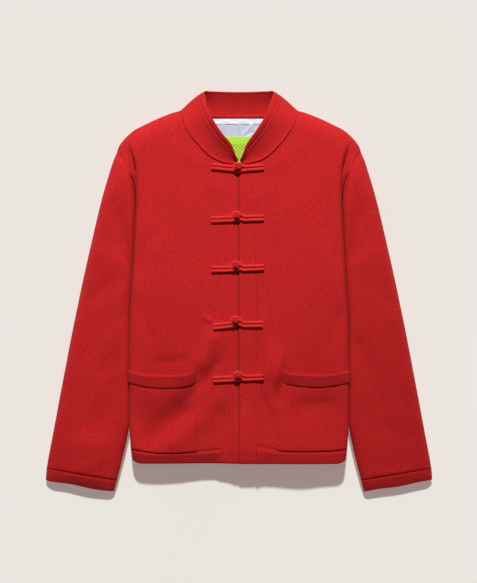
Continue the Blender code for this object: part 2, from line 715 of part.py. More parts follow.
def make_neck_lining(satin, tape, woven):
    def patch(name, corners, height, finish):
        """Flat patch: rows of (y, left x, right x) at the height of its top."""
        rows = [[Vector((x, y, height)) for x in spaced(left, right, 5)]
                for y, left, right in corners]
        cloth(name, grid_mesh(name, rows), finish, wall=LINING_WALL)

    step = LINING_WALL + LAY_GAP
    lining_z = CLOTH + step
    patch("lining", (
        (LINING_FOOT, -LINING_WIDE, LINING_WIDE),
        (LINING_SHOULDER, -LINING_WIDE, LINING_WIDE),
        (LINING_TOP, -LINING_NECK, LINING_NECK)), lining_z, satin)
    tape_low = LINING_TOP - TAPE_DEEP
    patch("neck_tape", (
        (tape_low, -LINING_NECK - 6.0, LINING_NECK + 6.0),
        (LINING_TOP - 0.5, -LINING_NECK, LINING_NECK)), lining_z + step, tape)
    left, right = LABEL_X - LABEL_WIDE / 2, LABEL_X + LABEL_WIDE / 2
    patch("label", (
        (LABEL_TOP - LABEL_DEEP, left, right), (LABEL_TOP, left, right)),
        lining_z + step, woven)


def highest(trees, x, y, reach):
    """Highest point of the cloth within reach of a place."""
    spots = [(x + dx * reach, y + dy * reach) for dx in (-1, 0, 1) for dy in (-1, 0, 1)]
    tops = [0.0]
    for tree in trees:
        for spot in spots:
            hit = tree.ray_cast(Vector((*spot, 200.0)), Vector((0.0, 0.0, -1.0)))[0]
            if hit:
                tops.append(hit.z)
    return max(tops)


def cord_pair(start, knot, shares, trees):
    """Points of the two parallel cords of a frog, from its end to the knot."""
    axis = (knot - start) / np.linalg.norm(knot - start)
    across = np.array([-axis[1], axis[0]])
    if across[1] < 0.0:
        across = -across
    pair = []
    for turn in (1.0, -1.0):
        points = []
        for share, spread in shares:
            x, y = start + (knot - start) * share + across * turn * spread
            points.append((x, y, highest(trees, x, y, 3.0) + CORD / 2 + CORD_GAP))
        pair.append(points)
    return pair


def mesh_object(name, mesh, finish, group):
    mesh.materials.clear()
    mesh.materials.append(finish)
    piece = bpy.data.objects.new(name, mesh)
    group.objects.link(piece)
    return piece


def make_frog(number, row, right_trees, left_trees, finish):
    """Knot button with its two cords, and the loop that closes round the knot."""
    left, knot, right = (np.array(row[k:k + 2]) for k in (0, 2, 4))
    half = CORD_PITCH / 2
    base = highest(right_trees, *knot, 3.0)
    middle = max(base, highest(left_trees, *knot, 3.0) - LAP / 2) + KNOT_Z
    name = f"frog_{number}_button"

    shares = [(share, half) for share in (0.0, 0.15, 0.3, 0.45, 0.6, 0.72)]
    tails = []
    for points, turn in zip(cord_pair(left, knot, shares, right_trees), (1.0, -1.0)):
        points.append((knot[0] - KNOT_SINK, knot[1] + turn * half * 0.95,
                       middle - KNOT_SINK))
        tails.append(cord_curve(f"{name}_cord", points, finish, cutters, 9))
    bpy.context.view_layer.update()
    build = bmesh.new()
    for tail in tails:
        shape = bpy.data.meshes.new_from_object(
            tail.evaluated_get(bpy.context.evaluated_depsgraph_get()))
        build.from_mesh(shape)
        bpy.data.meshes.remove(shape)
        bpy.data.objects.remove(tail)
    bmesh.ops.remove_doubles(build, verts=build.verts, dist=0.00001)
    mesh = bpy.data.meshes.new(name)
    build.to_mesh(mesh)
    build.clear()
    button = mesh_object(name, mesh, finish, jacket)

    bmesh.ops.create_uvsphere(build, u_segments=14, v_segments=8, radius=KNOT_R * MM)
    mesh = bpy.data.meshes.new(f"{name}_knot")
    build.to_mesh(mesh)
    build.free()
    for vertex in mesh.vertices:
        vertex.co.z *= KNOT_RISE / KNOT_R
        vertex.co += Vector((*knot, middle)) * MM
    ball = mesh_object(f"{name}_knot", mesh, finish, cutters)
    ball.hide_render = True
    ball.display_type = "WIRE"
    union = button.modifiers.new("Knot", "BOOLEAN")
    union.operation = "UNION"
    union.object = ball

    shares = [(0.0, half), (0.25, half), (0.48, half), (0.64, half + 0.5)]
    upper, lower = cord_pair(right, knot, shares, left_trees)
    rise = base + LAP + CORD / 2 + CORD_GAP
    over = max(base, highest(right_trees, knot[0] - LOOP_R, knot[1], 4.0)) + LOOP_OVER
    ring = []
    for degrees in range(-144, 145, 36):
        angle = math.radians(degrees)
        climb = ((1.0 + math.cos(angle)) / 2) ** 1.5
        x, y = knot[0] - LOOP_R * math.cos(angle), knot[1] - LOOP_R * math.sin(angle)
        z = rise + (over - rise) * climb
        under = highest(right_trees + left_trees, x, y, 2.4) + CORD / 2 + CORD_GAP
        ring.append((x, y, max(z, under)))
    cord_curve(f"frog_{number}_loop", upper + ring + lower[::-1], finish, jacket, 31)


for old in list(bpy.data.objects):
    bpy.data.objects.remove(old)
jacket = collection("Tang jacket")
cutters = collection("Cutters")

knit = material("red knit", RED, 0.85)
band = material("knitted band", DEEP_RED, 0.85)
braid = material("frog cord", RED, 0.7)

right_tree = make_front("front_right", -1, knit)
left_tree = make_front("front_left", 1, knit)
make_back(knit, band)
make_hem_band("hem_right", -1, band)
make_hem_band("hem_left", 1, band)
make_sleeve(-1, "sleeve_right", "cuff_right", knit, band)
make_sleeve(1, "sleeve_left", "cuff_left", knit, band)
collar_tree = make_collar(band)
make_pocket(-1, "pocket_right", "pocket_band_right", knit, band)
make_pocket(1, "pocket_left", "pocket_band_left", knit, band)
make_neck_lining(
    material("satin", SILVER, 0.35), material("white tape", WHITE, 0.5),
    material("woven label", LIME, 0.6))
for number, frog in enumerate(FROGS, start=1):
    make_frog(number, frog, [right_tree, collar_tree], [left_tree, collar_tree], braid)
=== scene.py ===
"""Looks of a red knitted tang jacket, laid out flat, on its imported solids.

+Y points to the collar, +X to the wearer's left, and z = 0 is the floor.  Cloth is
shaped in millimetres and turned into metres where its mesh is made.
"""

import math

import bpy
import numpy as np
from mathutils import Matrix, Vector


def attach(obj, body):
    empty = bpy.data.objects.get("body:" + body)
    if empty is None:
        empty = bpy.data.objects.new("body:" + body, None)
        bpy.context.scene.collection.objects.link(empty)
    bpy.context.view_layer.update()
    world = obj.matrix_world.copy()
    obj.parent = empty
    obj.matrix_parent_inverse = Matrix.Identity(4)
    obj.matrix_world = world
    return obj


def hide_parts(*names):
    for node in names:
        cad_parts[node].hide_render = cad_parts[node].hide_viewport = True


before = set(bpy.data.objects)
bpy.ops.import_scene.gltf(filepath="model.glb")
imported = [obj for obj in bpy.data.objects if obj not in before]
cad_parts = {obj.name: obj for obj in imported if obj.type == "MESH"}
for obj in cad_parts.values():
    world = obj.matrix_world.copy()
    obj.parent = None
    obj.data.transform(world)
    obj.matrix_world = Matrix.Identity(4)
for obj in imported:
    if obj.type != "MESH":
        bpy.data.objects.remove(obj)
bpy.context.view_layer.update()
scene = bpy.context.scene


# ---- Camera ----------------------------------------------------------------
# Straight above the jacket, far enough that its sides stay hidden. Its view is
# 1.02 m high at the height of the cloth.
camera = bpy.data.objects.new("camera", bpy.data.cameras.new("camera"))
scene.collection.objects.link(camera)
camera.location = (-0.0009, -0.0009, 3.02)
camera.data.sensor_width = 36.0
camera.data.lens = 105.86
camera.data.clip_end = 20.0
scene.camera = camera
scene.view_settings.view_transform = "Standard"


# ---- Light -----------------------------------------------------------------
# Low sun from beyond the collar, a soft pool of light on the chest from the same
# side, which falls off towards the cuffs, and an even pale sky.
sun = bpy.data.objects.new("sun", bpy.data.lights.new("sun", "SUN"))
scene.collection.objects.link(sun)
sun.location = (0.0, 2.0, 2.1)
sun.rotation_euler = (math.radians(-43.0), 0.0, 0.0)
sun.data.energy = 2.45
sun.data.angle = math.radians(4.0)
sun.data.color = (1.0, 0.985, 0.96)

garment = bpy.data.collections.new("Tang jacket")
pool = bpy.data.objects.new("pool", bpy.data.lights.new("pool", "SPOT"))
scene.collection.objects.link(pool)
pool.location = (-0.14, 1.50, 1.46)
pool.rotation_euler = (math.radians(-41.5), 0.0, 0.0)
pool.scale = (1.5, 1.0, 1.0)      # the pool is wider than it is long
pool.data.energy = 70.0
pool.data.shadow_soft_size = 0.09
pool.data.spot_size = math.radians(25.0)
pool.data.spot_blend = 0.75
pool.light_linking.receiver_collection = garment

world = bpy.data.worlds.new("pale sky")
scene.world = world
world.use_nodes = True
sky = world.node_tree.nodes["Background"]
sky.inputs["Color"].default_value = (1.0, 0.985, 0.975, 1.0)
sky.inputs["Strength"].default_value = 0.12


# ---- Floor -----------------------------------------------------------------
# Smooth warm off-white board with a faint, wide mottle, wide enough to reach past
# the jacket's shadow on every side.
floor_mesh = bpy.data.meshes.new("floor")
corners = [(-3.0, -3.0, 0.0), (3.0, -3.0, 0.0), (3.0, 3.0, 0.0), (-3.0, 3.0, 0.0)]
floor_mesh.from_pydata(corners, [], [(0, 1, 2, 3)])
floor = bpy.data.objects.new("floor", floor_mesh)
scene.collection.objects.link(floor)

# The board takes a little more of the sun than the cloth does.
stage = bpy.data.collections.new("Floor")
stage.objects.link(floor)
fill = bpy.data.objects.new("floor_sun", sun.data.copy())
scene.collection.objects.link(fill)
fill.location, fill.rotation_euler = sun.location, sun.rotation_euler
fill.data.energy = 0.45
fill.light_linking.receiver_collection = stage


def new_material(name, roughness, sheen=0.0, sheen_colour=(1.0, 1.0, 1.0, 1.0)):
    """Material with a Principled shader, and that shader and its tree."""
    made = bpy.data.materials.new(name)
    made.use_nodes = True
    shader = made.node_tree.nodes["Principled BSDF"]
    shader.inputs["Roughness"].default_value = roughness
    shader.inputs["Specular IOR Level"].default_value = 0.2
    shader.inputs["Sheen Weight"].default_value = sheen
    shader.inputs["Sheen Roughness"].default_value = 0.5
    shader.inputs["Sheen Tint"].default_value = sheen_colour
    return made, shader, made.node_tree


def shader_group(name, inputs, outputs):
    """New shader node group with named sockets, and the sockets inside it."""
    group = bpy.data.node_groups.new(name, "ShaderNodeTree")
    for in_out, sockets in (("INPUT", inputs), ("OUTPUT", outputs)):
        for title, kind in sockets.items():
            group.interface.new_socket(title, in_out=in_out, socket_type="NodeSocket" + kind)
    given = group.nodes.new("NodeGroupInput").outputs
    return group, given, group.nodes.new("NodeGroupOutput").inputs


def placed(tree, group, **values):
    """Outputs of a group placed in a tree, its inputs fed by sockets or values."""
    node = tree.nodes.new("ShaderNodeGroup")
    node.node_tree = group
    for title, value in values.items():
        if isinstance(value, bpy.types.NodeSocket):
            tree.links.new(value, node.inputs[title])
        else:
            node.inputs[title].default_value = value
    return node.outputs


def unevenness_group():
    """Soft noise spread between a low and a high value."""
    group, given, result = shader_group(
        "unevenness",
        {"Place": "Vector", "Scale": "Float", "Detail": "Float", "Low": "Float", "High": "Float"},
        {"Value": "Float"})
    noise = group.nodes.new("ShaderNodeTexNoise")
    spread = group.nodes.new("ShaderNodeMapRange")
    spread.inputs["From Min"].default_value = 0.3
    spread.inputs["From Max"].default_value = 0.7
    for start, end in (
            (given["Place"], noise.inputs["Vector"]),
            (given["Scale"], noise.inputs["Scale"]),
            (given["Detail"], noise.inputs["Detail"]),
            (noise.outputs["Fac"], spread.inputs["Value"]),
            (given["Low"], spread.inputs["To Min"]),
            (given["High"], spread.inputs["To Max"]),
            (spread.outputs["Result"], result["Value"])):
        group.links.new(start, end)
    return group


unevenness = unevenness_group()


def uneven(tree, place, scale, low, high, detail=2.0):
    """Value that varies over the surface between low and high."""
    return placed(tree, unevenness, Place=place, Scale=scale, Detail=detail, Low=low,
                  High=high)["Value"]


def calculate(tree, operation, a, b=0.0):
    """One Math node; a and b are sockets or numbers."""
    node = tree.nodes.new("ShaderNodeMath")
    node.operation = operation
    for socket, value in zip(node.inputs, (a, b)):
        if isinstance(value, float):
            socket.default_value = value
        else:
            tree.links.new(value, socket)
    return node.outputs["Value"]


def tinted(tree, colour, brightness):
    """A colour, fixed or from a socket, whose brightness follows a socket."""
    node = tree.nodes.new("ShaderNodeVectorMath")
    node.operation = "SCALE"
    if isinstance(colour, bpy.types.NodeSocket):
        tree.links.new(colour, node.inputs[0])
    else:
        node.inputs[0].default_value = colour
    tree.links.new(brightness, node.inputs["Scale"])
    return node.outputs["Vector"]


board, shader, tree = new_material("board", 0.8)
place = tree.nodes.new("ShaderNodeTexCoord").outputs["Object"]
mottle = uneven(tree, place, 3.0, 0.985, 1.015)
tree.links.new(tinted(tree, (0.708, 0.757, 0.732), mottle), shader.inputs["Base Color"])
# The board also glows evenly in a warm tint: painted fill light that lightens the jacket's shadow
# on it.
shader.inputs["Emission Color"].default_value = (0.256, 0.193, 0.181, 1.0)
shader.inputs["Emission Strength"].default_value = 1.0
floor_mesh.materials.append(board)


# ---- Fronts ----------------------------------------------------------------
# Two panels of fine plain knit over a light fill. The left laps over the right at
# the centre, and both end in a crease in front of the sleeve.
HEM_Y, BAND_Y, UNDERARM_Y, CAP_Y, SHOULDER_Y = -300.0, -278.0, 51.0, 208.0, 245.0
ARMHOLE_OPENS = (176.0, 210.0)   # y where the armhole's edge rises out of the gap
THROAT_Y = 219.0
HALF_WIDTH = 190.0           # of the body, from the centre to a side seam
HEM_HALF, BAND_HALF = 186.5, 187.0
SIDE_ROLL = 16.0 / HALF_WIDTH    # share of a row taken by the rounded side
SHOULDER_ROLL = 34.0         # how far in from the silhouette the shoulder rounds down
SIDE_Z, SHOULDER_Z = 22.8, 12.8
STRIP_RISE = 5.5             # the front strips stand this much higher at their foot
LAP_RISE, LAP_EDGE, UNDERLAP_DIP = 2.5, 1.3, 1.4    # at the centre, left over right
SLACK = 0.35                 # height of the long, faint waves over the whole front
CREASE_IN = 8.0              # width of the crease's side towards the centre
SEAM_DEPTH, SEAM_WIDTH = 2.6, 1.6    # groove of the armhole seam
CORNER_RISE = 6.5            # the hem's corners turn up this far
SIDE_CURL = 3.0              # how squarely the sides turn down; 2 is round
CROWN = (  # y, z
    (-300, 41.5), (-289, 45.4), (-278, 48.2), (-250, 45), (-205, 40), (-150, 40.5),
    (-60, 44.5), (20, 46.5), (100, 46), (200, 43.5), (250, 41), (320, 38),
)
SIDE = (  # y, x
    (-300, 186), (-287, 187.5), (-260, 190), (-235, 191.5), (-150, 192),
    (-51, 191), (-16, 189), (51, 185), (107, 182), (150, 180.5), (173, 182),
    (194, 186), (208, 191), (227, 201), (245, 213.5),
)
NECKLINE = (  # x, y
    (0, 219), (17, 221.5), (35, 226), (53, 236.5), (73.5, 257), (90, 279),
    (99, 298), (103.5, 316),
)
SHOULDER = (  # x, y
    (103.5, 316), (119, 311.5), (145, 301), (167, 290.5), (184, 281.5),
    (199.5, 268), (210, 254.5), (213.5, 245),
)
SLEEVE_OUTER = (  # y, x
    (-331, 339.5), (-306, 336.5), (-250, 326), (-138, 304.8), (-26, 282.5),
    (86, 258), (142, 245), (170, 238), (198, 230), (226, 221.5), (245, 214.2),
)
FOLDS = (  # x0, y0, x1, y1, height, width on one side and on the other
    (-41, -68, -70, -138, 7.5, 13, 17),
    (-34, -118, -60, -160, -3.2, 10, 9),
    (-60, -152, -112, -205, -3.5, 16, 14),
    (-84, -200, -164, -270, -9.5, 27, 13),
    (-160, -140, -104, -142, -4.0, 20, 36),
    (104, -138, 160, -140, -2.5, 20, 34),
    (-28, -176, -80, -240, 4.5, 15, 18),
    (-80, -240, -124, -272, 2.6, 14, 14),
    (-24, -210, -30, -280, -1.6, 8, 9),
    (38, -40, 54, -120, 2.0, 12, 12),
    (44, -138, 72, -144, 10.5, 26, 38),
    (84, -150, 70, -200, -3.0, 10, 12),
    (44, -162, 66, -214, 4.0, 10, 14),
    (168, -190, 104, -200, -3.5, 14, 20),
    (10, -205, 4, -290, 1.8, 9, 9),
    (-47, -53, -60, -46, 2.6, 4, 4),
    (-60, 214, -122, 262, 1.8, 15, 17),
    (62, 214, 118, 262, 1.6, 16, 16),
    (150, 120, 176, 40, -2.4, 12, 10),
    (-150, 110, -177, 30, -2.4, 10, 12),
    (-178, -16, -150, -96, -2.4, 12, 14),
    (178, -26, 156, -110, -2.6, 14, 12),
    (-128, 100, -140, -40, 1.8, 26, 22),
    (128, 110, 122, -30, 1.2, 22, 24),
    (30, 120, 40, 30, 1.0, 10, 12),
    (-84, -118, -146, -124, -1.2, 5, 7),
    (12, 150, 60, 176, 1.2, 10, 12),
    (-14, 170, -62, 190, 1.0, 10, 12),
)
HEM_RISE = (  # x across the body, lift of the cloth near the hem
    (-186, 0), (-150, 3), (-110, 1), (-62, -5), (-22, -4), (-4, 2), (20, 2.5), (60, 3),
    (107, 7), (150, 3), (186, 0),
)
HEM_SEAM = (  # x across the body, y of the seam between panel and hem band
    (-188, -274.5), (-142, -281), (-88, -280), (-33, -276), (33, -270), (74, -277),
    (154, -277.5), (188, -275),
)
CREASE = (  # y, x of the crease in front of the armhole, its depth
    (100, 182, 0), (140, 181.5, 4), (160, 180.5, 10), (178, 180, 14), (194, 180, 15),
    (215, 181, 15), (232, 184.5, 12), (247, 188.5, 6), (262, 193, 0),
)


def smooth(low, high, value):
    """0 up to low, 1 from high, and a soft step between them."""
    share = np.clip((np.asarray(value, float) - low) / (high - low), 0.0, 1.0)
    return share * share * (3.0 - 2.0 * share)


def roll(share, curl=2.0):
    """Height share of a rounded edge, from 0 at its rim to 1 where it ends."""
    rest = 1.0 - np.clip(share, 0.0, 1.0)
    return np.clip(1.0 - rest**curl, 0.0, 1.0) ** (1.0 / curl)


def curve(table, key):
    """Columns of a table at keys in its first column, on a smooth curve."""
    table = np.array(table, float)
    keys, values = table[:, 0], table[:, 1:]
    slope = np.gradient(values, keys, axis=0)
    slope[1:-1] = (values[2:] - values[:-2]) / (keys[2:] - keys[:-2])[:, None]
    key = np.clip(np.asarray(key, float), keys[0], keys[-1])
    low = np.clip(np.searchsorted(keys, key, side="right") - 1, 0, len(keys) - 2)
    step = (keys[low + 1] - keys[low])[..., None]
    t = (key - keys[low])[..., None] / step
    return (
        (2 * t**3 - 3 * t**2 + 1) * values[low]
        + (t**3 - 2 * t**2 + t) * step * slope[low]
        + (3 * t**2 - 2 * t**3) * values[low + 1]
        + (t**3 - t**2) * step * slope[low + 1]
    )


def along(points, share):
    """Points at shares of the length of a smooth curve through the points."""
    points = np.array(points, float)
    run = np.r_[0.0, np.cumsum(np.linalg.norm(np.diff(points, axis=0), axis=1))]
    return curve(np.column_stack([run, points]), np.asarray(share, float) * run[-1])


silhouette = np.vstack([
    along(SHOULDER, np.linspace(0.0, 1.0, 40)),
    np.array(SLEEVE_OUTER, float)[-2::-1, ::-1],
])


def to_line(points, x, y):
    """Plan distance to a line of points."""
    start, run = points[:-1], np.diff(points, axis=0)
    away = np.stack([x, y], -1)[..., None, :] - start
    share = np.clip((away * run).sum(-1) / (run * run).sum(-1), 0.0, 1.0)
    rest = away - share[..., None] * run
    return np.linalg.norm(rest, axis=-1).min(-1)


def within(x, y):
    """The same plan points, those past the shoulder line drawn back onto it."""
    level = np.interp(x, silhouette[:40, 0], silhouette[:40, 1], left=1000.0, right=1000.0)
    return x, np.minimum(y, level)


def fold_height(x, y, table):
    """Sum of soft ridges and troughs that die out at their ends."""
    total = np.zeros_like(x)
    for x0, y0, x1, y1, height, width_a, width_b in table:
        run_x, run_y = x1 - x0, y1 - y0
        length = math.hypot(run_x, run_y)
        share = ((x - x0) * run_x + (y - y0) * run_y) / length**2
        off = ((x - x0) * run_y - (y - y0) * run_x) / length
        width = np.where(off > 0.0, width_a, width_b)
        end = np.clip(np.abs(share - 0.5) - 0.25, 0.0, None) * length
        reach = 0.18 * length + 6.0
        total += height * np.exp(-((off / width) ** 2) - (end / reach) ** 2)
    return total


def outer_edge(v):
    """Side seam and armhole: v 0-1 hem to underarm, 1-2 to cap, 2-3 shoulder."""
    y = np.interp(v, (0.0, 1.0, 2.0, 3.0), (HEM_Y, UNDERARM_Y, CAP_Y, SHOULDER_Y))
    return np.stack([curve(SIDE, y)[..., 0], y], -1)


def row_of(y):
    """The v of a panel's row at y."""
    return (y - HEM_Y) / (UNDERARM_Y - HEM_Y)


def seam_y(x):
    """The seam between a front and its hem band."""
    return curve(HEM_SEAM, x)[..., 0]


def front_height(x, y, side):
    """Height of the front where no edge pulls it down."""
    z = curve(CROWN, y)[..., 0] + fold_height(side * x, y, FOLDS)
    z = z + curve(HEM_RISE, side * x)[..., 0] * (1.0 - smooth(-290.0, -150.0, y))
    z = z + smooth(-BAND_Y, -HEM_Y, -y) * STRIP_RISE * (1.0 - smooth(24.0, 44.0, x))
    edge = np.clip(x, 0.0, None)
    if side > 0:
        z = z + LAP_RISE * (1.0 - smooth(20.0, 38.0, x)) - LAP_EDGE * (1.0 - roll(edge / 2.4))
    else:
        z = z - UNDERLAP_DIP * np.exp(-((edge / 3.2) ** 2))
    wave = SLACK * np.sin(x / 23.0 + 1.3 * np.sin(y / 61.0)) * np.sin(y / 37.0 + side)
    return z + wave


def corner_lift(u, v):
    """How far the hem's outer corner turns up."""
    return CORNER_RISE * np.clip((u - 0.9) / 0.1, 0, None) ** 2 * (1.0 - smooth(0, 0.1, v))


def front(u, v, side):
    """Outer points of a front: u 0 centre to 1 side, v 0 hem to 3 shoulder."""
    u, v = np.broadcast_arrays(np.asarray(u, float), np.asarray(v, float))
    outer = outer_edge(v)
    centre = np.interp(v, (0.0, 1.0, 2.0), (HEM_Y, UNDERARM_Y, THROAT_Y))
    inner = np.stack([np.zeros_like(centre), centre], -1)
    neck = np.where(v > 2.0, 1.0, 0.0)[..., None]
    inner = inner * (1.0 - neck) + along(NECKLINE, np.clip(v - 2.0, 0.0, 1.0)) * neck
    plan = inner + u[..., None] * (outer - inner)
    shoulder = np.array(SHOULDER, float)
    chord = shoulder[0] * (1.0 - u[..., None]) + shoulder[-1] * u[..., None]
    plan += smooth(2.0, 3.0, v)[..., None] * (along(SHOULDER, np.clip(u, 0, 1)) - chord)
    x, y = within(plan[..., 0], plan[..., 1])
    y = y + corner_lift(u, v)
    free = front_height(x, y, side)
    away = to_line(silhouette, x, y)
    sloped = SHOULDER_Z + (free - SHOULDER_Z) * roll(away / SHOULDER_ROLL)
    free = np.where(v > 1.0, sloped, free)
    opens = np.where(v > 1.0, smooth(*ARMHOLE_OPENS, outer[..., 1]), 0.0)
    rim = SIDE_Z + (free - SIDE_Z) * opens
    z = rim + (free - rim) * roll((1.0 - u) / SIDE_ROLL, SIDE_CURL)
    crease_x, depth = np.moveaxis(curve(CREASE, y), -1, 0)
    inside = 1.0 - roll((crease_x - x) / CREASE_IN, 2.5)
    width = np.maximum(outer[..., 0] - crease_x, CREASE_IN)
    beyond = 1.0 - np.clip((x - crease_x) / width, 0.0, 1.0)
    z = z - np.where(v > 1.0, depth * np.where(x < crease_x, inside, beyond), 0.0)
    groove = SEAM_DEPTH * np.exp(-(((outer[..., 0] - x) / SEAM_WIDTH) ** 2))
    z = z - groove * smooth(1.9, 2.1, v) * (1.0 - smooth(2.9, 3.0, v))
    return np.stack([side * x, y, z], -1)


def cloth(name, grid, material, wall=2.0, closed=False, flip=False, plan=False):
    """Cloth shell from a grid of points in mm, its outer face on the grid.

    The knit runs along the grid, or straight up the piece where plan is true.
    """
    if closed:
        grid = np.concatenate([grid, grid[:, :1]], axis=1)
    rows, columns = grid.shape[:2]
    index = np.arange(rows * columns).reshape(rows, columns)
    faces = np.stack([index[:-1, :-1], index[:-1, 1:], index[1:, 1:], index[1:, :-1]], -1)
    if flip:
        faces = faces[..., ::-1]
    across = np.linalg.norm(np.diff(grid, axis=1), axis=2).mean(0)
    down = np.linalg.norm(np.diff(grid, axis=0), axis=2).mean(1)
    across, down = np.r_[0.0, np.cumsum(across)], np.r_[0.0, np.cumsum(down)]
    uv = np.stack(np.broadcast_arrays(across[None, :], down[:, None]), -1).reshape(-1, 2)
    if plan:
        uv = grid[..., :2].reshape(-1, 2)
    mesh = bpy.data.meshes.new(name)
    mesh.from_pydata((grid.reshape(-1, 3) * 0.001).tolist(), [], faces.reshape(-1, 4).tolist())
    layer = mesh.uv_layers.new(name="knit")
    corner = np.empty(len(mesh.loops), int)
    mesh.loops.foreach_get("vertex_index", corner)
    layer.data.foreach_set("uv", (uv[corner] * 0.001).ravel())
    mesh.shade_smooth()
    mesh.materials.append(material)
    piece = bpy.data.objects.new(name, mesh)
    scene.collection.objects.link(piece)
    garment.objects.link(piece)
    if closed:
        weld = piece.modifiers.new("Close", "WELD")
        weld.merge_threshold = 0.00002
    shell = piece.modifiers.new("Wall", "SOLIDIFY")
    shell.thickness = wall * 0.001
    shell.offset = -1.0
    return piece


def knit_group():
    """Plain knit: V stitch columns with uneven dye, faint drawn columns and painted shade in the
    stitches' hollows.

    Place is in metres; Wale and Course are the width and height of a stitch in mm.
    """
    group, given, result = shader_group(
        "plain knit",
        {"Place": "Vector", "Colour": "Color", "Wale": "Float", "Course": "Float",
         "Mottle": "Float"},
        {"Colour": "Color", "Height": "Float"})

    def math_of(operation, a, b=0.0):
        return calculate(group, operation, a, b)

    def stretched(across, upward):
        node = group.nodes.new("ShaderNodeVectorMath")
        node.operation = "MULTIPLY"
        node.inputs[1].default_value = (across, upward, 1.0)
        group.links.new(given["Place"], node.inputs[0])
        return node.outputs["Vector"]

    parts = group.nodes.new("ShaderNodeSeparateXYZ")
    group.links.new(given["Place"], parts.inputs[0])
    column = math_of("DIVIDE", math_of("MULTIPLY", parts.outputs["X"], 1000.0), given["Wale"])
    leg = math_of("PINGPONG", column, 0.5)
    stitch = math_of("DIVIDE", math_of("MULTIPLY", parts.outputs["Y"], 1000.0), given["Course"])
    slanted = math_of("ADD", stitch, math_of("MULTIPLY", leg, 1.3))
    stitch_wave = math_of("SINE", math_of("MULTIPLY", slanted, math.tau))
    leg_wave = math_of("SINE", math_of("MULTIPLY", leg, math.tau))
    height = math_of("ADD", leg_wave, math_of("MULTIPLY", stitch_wave, 0.35))

    mottle = given["Mottle"]
    grain = uneven(group, given["Place"], 300.0, math_of("SUBTRACT", 1.0, mottle),
                   math_of("ADD", 1.0, mottle))
    less = math_of("MULTIPLY", mottle, 0.7)
    course = uneven(group, stretched(150.0, 430.0), 1.0, math_of("SUBTRACT", 1.0, less),
                    math_of("ADD", 1.0, less))
    cloud = uneven(group, given["Place"], 14.0, 0.97, 1.03)
    drawn = uneven(group, stretched(330.0, 9.0), 1.0, 0.965, 1.035)
    # Painted shade: the colour is a little darker in the stitches' hollows, following their
    # height.
    stitch_shade = math_of("ADD", math_of("MULTIPLY", height, 0.05), 0.97)
    dye = math_of("MULTIPLY", math_of("MULTIPLY", grain, course), cloud)
    shade = math_of("MULTIPLY", dye, math_of("MULTIPLY", drawn, stitch_shade))
    group.links.new(tinted(group, given["Colour"], shade), result["Colour"])
    fuzz = uneven(group, given["Place"], 700.0, -0.4, 0.4, 3.0)
    group.links.new(math_of("ADD", height, fuzz), result["Height"])
    return group


def raised_by(tree, shader, height, depth):
    """Bump of that depth in metres on a shader, from a height between -1 and 1."""
    bump = tree.nodes.new("ShaderNodeBump")
    bump.inputs["Distance"].default_value = depth
    tree.links.new(height, bump.inputs["Height"])
    tree.links.new(bump.outputs["Normal"], shader.inputs["Normal"])
    return bump


plain_knit = knit_group()


def knit_material(name, colour, wale, course, depth, mottle):
    """Matte yarn in plain knit that follows the knit UV map."""
    made, shader, tree = new_material(name, 0.9, 0.12, (1.0, 0.2, 0.18, 1.0))
    place = tree.nodes.new("ShaderNodeUVMap")
    place.uv_map = "knit"
    knit = placed(tree, plain_knit, Place=place.outputs["UV"], Colour=(*colour, 1.0),
                  Wale=wale, Course=course, Mottle=mottle)
    tree.links.new(knit["Colour"], shader.inputs["Base Color"])
    bump = raised_by(tree, shader, knit["Height"], depth)
    bump.inputs["Strength"].default_value = 0.7
    return made


panel_knit = knit_material("panel_knit", (0.55, 0.0125, 0.0148), 1.55, 1.2, 0.00022, 0.16)
FACING_X, FACING_DIP = 30.0, 0.5    # the facing's inner edge, and how far it draws in
FOOT_DIP, FOOT_TUCK = 1.5, 2.6      # groove at the band's seam, and depth under the band
roll_columns = 1.0 - SIDE_ROLL * (1.0 - np.cos(np.radians(np.arange(90, -1, -5))))
columns = np.r_[np.arange(0.0, 0.87, 0.0113), np.arange(0.875, 0.912, 0.006), roll_columns]
top_rows = 3.0 - 0.23 * (1.0 - np.cos(np.radians(np.arange(90, -1, -7.5))))
rows = np.r_[np.linspace(row_of(BAND_Y - 11.0), row_of(BAND_Y + 9.0), 30)[:-1],
             np.linspace(row_of(BAND_Y + 9.0), 1.0, 96)[:-1], np.linspace(1.0, 2.0, 60)[:-1],
             np.linspace(2.0, 2.76, 34), top_rows]
fronts = {}
for side, name, node in (
        (-1, "right_front", "front_right"), (1, "left_front", "front_left")):
    grid = front(columns[None, :], rows[:, None], side)
    # The facing's inner edge is joined by a line that draws the cloth in a little.
    line = np.exp(-(((np.abs(grid[..., 0]) - FACING_X) / 1.3) ** 2))
    grid[..., 2] -= FACING_DIP * line * (grid[..., 1] < 216.0)
    # The band's seam pulls the panel's foot down into a groove, and its edge
    # lies under the band.
    below = seam_y(grid[..., 0]) - grid[..., 1]
    foot = FOOT_DIP * np.exp(-((np.minimum(below, 0.0) / 2.2) ** 2))
    foot += FOOT_TUCK * smooth(0.4, 2.4, below)
    grid[..., 2] -= foot * smooth(FACING_X - 3.0, FACING_X, np.abs(grid[..., 0]))
    piece = cloth(name, grid, panel_knit, flip=side < 0, plan=True)
    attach(piece, "root")
    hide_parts(node)
    fronts[side] = piece

# The right front runs on under the left one.
UNDERLAP = 17.0
lap_rows = np.linspace(0.0, row_of(THROAT_Y - 12.0), 90)
grid = front(np.zeros((1, 8)), lap_rows[:, None], -1)
grid[..., 0] = np.linspace(0.0, UNDERLAP, 8)
lap = cloth("right_underlap", grid, panel_knit, plan=True)
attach(lap, "root")


